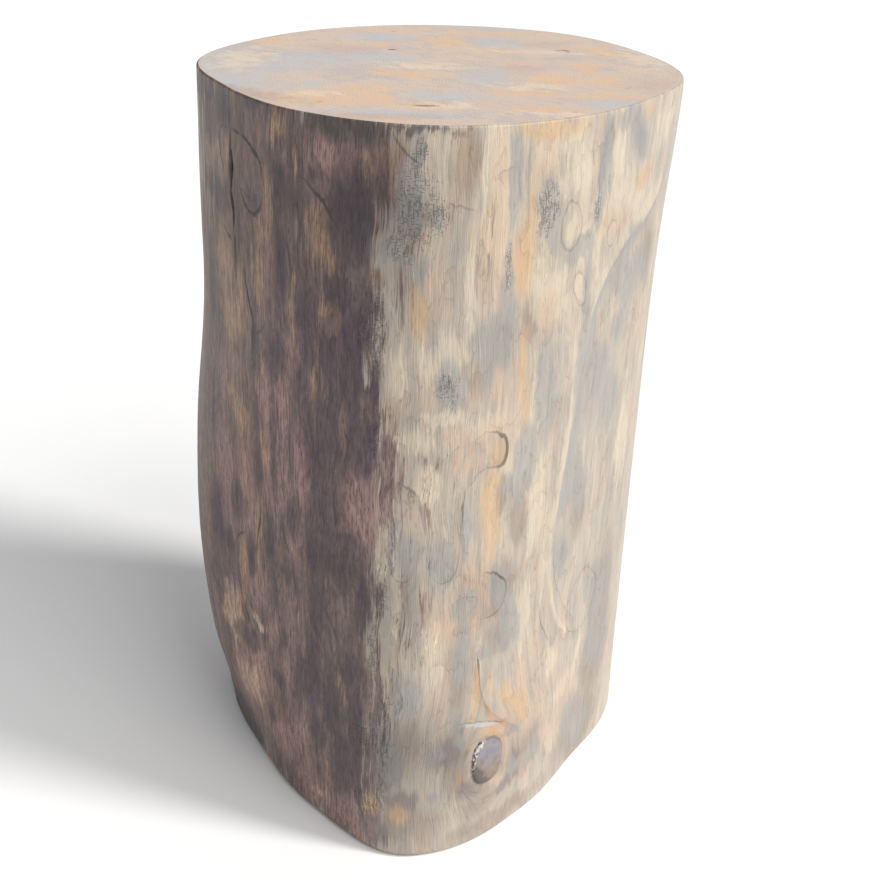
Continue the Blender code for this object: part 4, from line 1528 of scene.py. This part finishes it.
# %% Start the sawn top's finish
TOP_COLOURS = {
    "peach": (217, 192, 171), "grey": (194, 183, 176), "amber": (226, 186, 148),
    "slate": (192, 191, 192), "rose": (204, 175, 164), "cream": (228, 208, 184),
    "ring": (168, 148, 134), "check": (112, 82, 64),
}
TOP_PAINTS = {name: paint(*shown) for name, shown in TOP_COLOURS.items()}
BRUSHED_ALONG = 28.0
sawn_finish = bpy.data.materials.new("sawn end grain")
sawn_finish.use_nodes = True
tree = sawn_finish.node_tree
shader = tree.nodes["Principled BSDF"]
place = tree.nodes.new("ShaderNodeTexCoord").outputs["Object"]
top_wood = use_group(tree, fibres, {"Grain": place, "Width": 0.0012, "Length": 0.0012, "Seed": 9.0})
blots = blotches(tree, place, (0.045, 0.045), 3.0, 0.6, 2.0, 2.6)
fine_blots = blotches(tree, place, (0.012, 0.012), 4.0, 0.6, 5.0, 2.6)
slanted = add_node(tree, "ShaderNodeVectorRotate",
                   {"Vector": place, "Angle": math.radians(BRUSHED_ALONG)},
                   rotation_type="Z_AXIS").outputs[0]
streaks_place = vector_calc(tree, "DIVIDE", slanted, (0.016, 0.0042, 0.01))
brushed = stretch_out(tree, cloudy(tree, streaks_place, 3.0, 0.6, 8.0), 2.4)
ground = parts(tree, blots, 0.6, brushed, 0.4)
colour = over(tree, soft_step(tree, ground, 0.2, 0.8), TOP_PAINTS["grey"], TOP_PAINTS["peach"])
TOP_STRENGTHS = {"rose": 0.8, "peach": 0.7, "slate": 0.85, "amber": 0.70, "cream": 0.7}
for name, strength in TOP_STRENGTHS.items():
    sockets = {"Amount": field(name), "Fibre": brushed, "Cloud": fine_blots, "Tear": 1.2,
               "Drift": 0.8, "Blur": 0.30}
    mask = use_group(tree, torn, sockets)["Mask"]
    colour = tint(tree, colour, mask, strength, TOP_PAINTS[name])
print("nodes so far:", len(tree.nodes))


# %% Rings and checks of the sawn top
def lifted(value):
    """A place straight up from the origin, the value away."""
    return add_node(tree, "ShaderNodeCombineXYZ", {2: value}).outputs[0]


PITH = (0.006, 0.004, 0.0)
RING_WIDTH = 0.0034
CHECK_LENGTH = 0.045
from_pith = vector_calc(tree, "SUBTRACT", place, PITH)
flat = vector_calc(tree, "MULTIPLY", from_pith, (1.0, 1.0, 0.0))
pith_gap = length_of(tree, flat)
wobble = times(tree, calc(tree, "SUBTRACT", blots, 0.5), 0.02)
ring_count = calc(tree, "DIVIDE", calc(tree, "ADD", pith_gap, wobble), RING_WIDTH)
uneven = cloudy(tree, lifted(ring_count), 1.0, 0.5, 3.0)
late_wood = soft_step(tree, calc(tree, "FRACT", ring_count), 0.55, 1.0)
ring_show = times(tree, soft_step(tree, uneven, 0.40, 0.65), soft_step(tree, blots, 0.15, 0.6))
colour = tint(tree, colour, times(tree, late_wood, ring_show), 0.22, TOP_PAINTS["ring"])
outwards = vector_calc(tree, "NORMALIZE", flat)
check_place = vector_calc(tree, "DIVIDE", outwards, (0.030, 0.030, 1.0))
check_row = lifted(calc(tree, "DIVIDE", pith_gap, CHECK_LENGTH))
check_place = vector_calc(tree, "ADD", check_place, check_row)
check_noise = stretch_out(tree, cloudy(tree, check_place, 2.0, 0.6, 12.0), 2.4)
checks = times(tree, soft_step(tree, check_noise, 0.80, 1.0), soft_step(tree, pith_gap, 0.01, 0.04))
colour = tint(tree, colour, checks, 0.26, TOP_PAINTS["ring"])
print("nodes so far:", len(tree.nodes))

# %% Single marks on the sawn top
# Place across and back from the middle, half length and half width in millimetres, turn in
# degrees, and how dark
TOP_MARKS = (
    (-2, -107, 8.0, 2.0, 4, 0.85), (-27, 62, 3.6, 2.4, 0, 0.9), (-29, 132, 4.0, 1.2, -20, 0.5),
    (86, 80, 5.5, 1.8, 12, 0.6), (89, 78, 1.4, 6.0, 20, 0.55), (-60, -105, 2.4, 1.0, 30, 0.4),
    (-45, -117, 2.0, 0.9, 0, 0.45), (82, -110, 1.8, 1.0, 10, 0.4), (45, -120, 2.2, 0.8, 0, 0.4),
    (-103, 38, 2.0, 1.4, 0, 0.35), (-108, -84, 44.0, 12.0, -35, 0.22),
    (-20, -136, 44.0, 9.0, 4, 0.12), (-6, -104, 9.0, 3.0, 4, 0.10), (60, 20, 5.0, 0.7, 40, 0.3),
    (20, -40, 6.0, 0.7, -30, 0.25), (-70, 40, 4.0, 0.7, 20, 0.25), (118, -40, 4.0, 0.8, 60, 0.3),
    (-10, 100, 5.0, 0.7, 10, 0.3),
)
ragged_edge = sloped(tree, top_wood["Streak"], 0.8, -0.4)
for across, back, half_length, half_width, turn, dark in TOP_MARKS:
    moved = vector_calc(tree, "SUBTRACT", place, (across / 1000, back / 1000, LOG_HEIGHT))
    turned = add_node(tree, "ShaderNodeVectorRotate",
                      {"Vector": moved, "Angle": math.radians(-turn)},
                      rotation_type="Z_AXIS").outputs[0]
    sized = vector_calc(tree, "DIVIDE", turned, (half_length / 1000, half_width / 1000, 1.0))
    far = calc(tree, "ADD", length_of(tree, sized), ragged_edge)
    mark = opposite(tree, soft_step(tree, far, 0.5, 1.2))
    colour = tint(tree, colour, mark, dark, TOP_PAINTS["check"])
print("marks", len(TOP_MARKS))

# %% The sawn top's sheen and fine relief
TOP_GROOVES = 0.0002
colour = shaded(tree, colour, sloped(tree, top_wood["Fibre"], 0.04, 0.98))
top_bump = add_node(tree, "ShaderNodeBump", {"Strength": 1.0, "Distance": TOP_GROOVES,
                                             "Height": top_wood["Fibre"]})
give(tree, shader, {
    "Base Color": colour, "Roughness": sloped(tree, fine_blots, 0.2, 0.30), "Coat Weight": 0.2,
    "Coat Roughness": 0.25, "Specular IOR Level": 0.4, "Normal": top_bump.outputs[0],
})
print("sawn finish nodes:", len(tree.nodes))

# %% [markdown]
# ## Put it together
#
# The relief tree runs once, its result becomes a plain mesh, and the modifier goes. The skin
# then takes the place of the CAD log and rides on the one body that the part has.

# %% Run the relief and hand over to the frame
relief_step = log_skin.modifiers.new("wood relief", "NODES")
relief_step.node_group = relief_tree
sockets = {item.name: item.identifier for item in relief_tree.interface.items_tree
           if item.item_type == "SOCKET" and item.in_out == "INPUT"}
for name, value in RELIEF_INPUTS:
    relief_step[sockets[name]] = value
relief_step[sockets["Flank finish"]] = flank_finish
relief_step[sockets["Sawn finish"]] = sawn_finish
machine = bpy.context.evaluated_depsgraph_get()
finished = bpy.data.meshes.new_from_object(
    log_skin.evaluated_get(machine), preserve_all_data_layers=True, depsgraph=machine
)
log_skin.modifiers.remove(relief_step)
log_skin.data = finished
finished.name = "weathered_log"
places = np.zeros(len(finished.vertices) * 3)
finished.vertices.foreach_get("co", places)
places = places.reshape(-1, 3)
boxed = np.clip(places, np.array(cad_box[0]), np.array(cad_box[1]))
finished.vertices.foreach_set("co", boxed.ravel())
finished.update()
print("points laid back on the box:", int((np.abs(boxed - places).max(axis=1) > 1e-7).sum()))
print("finished mesh:", len(finished.vertices), "points,",
      [material.name for material in finished.materials])

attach(log_skin, "root")
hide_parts("log")

# %% Show the CAD box and finish
print("CAD box", [list(corner) for corner in cad_box])
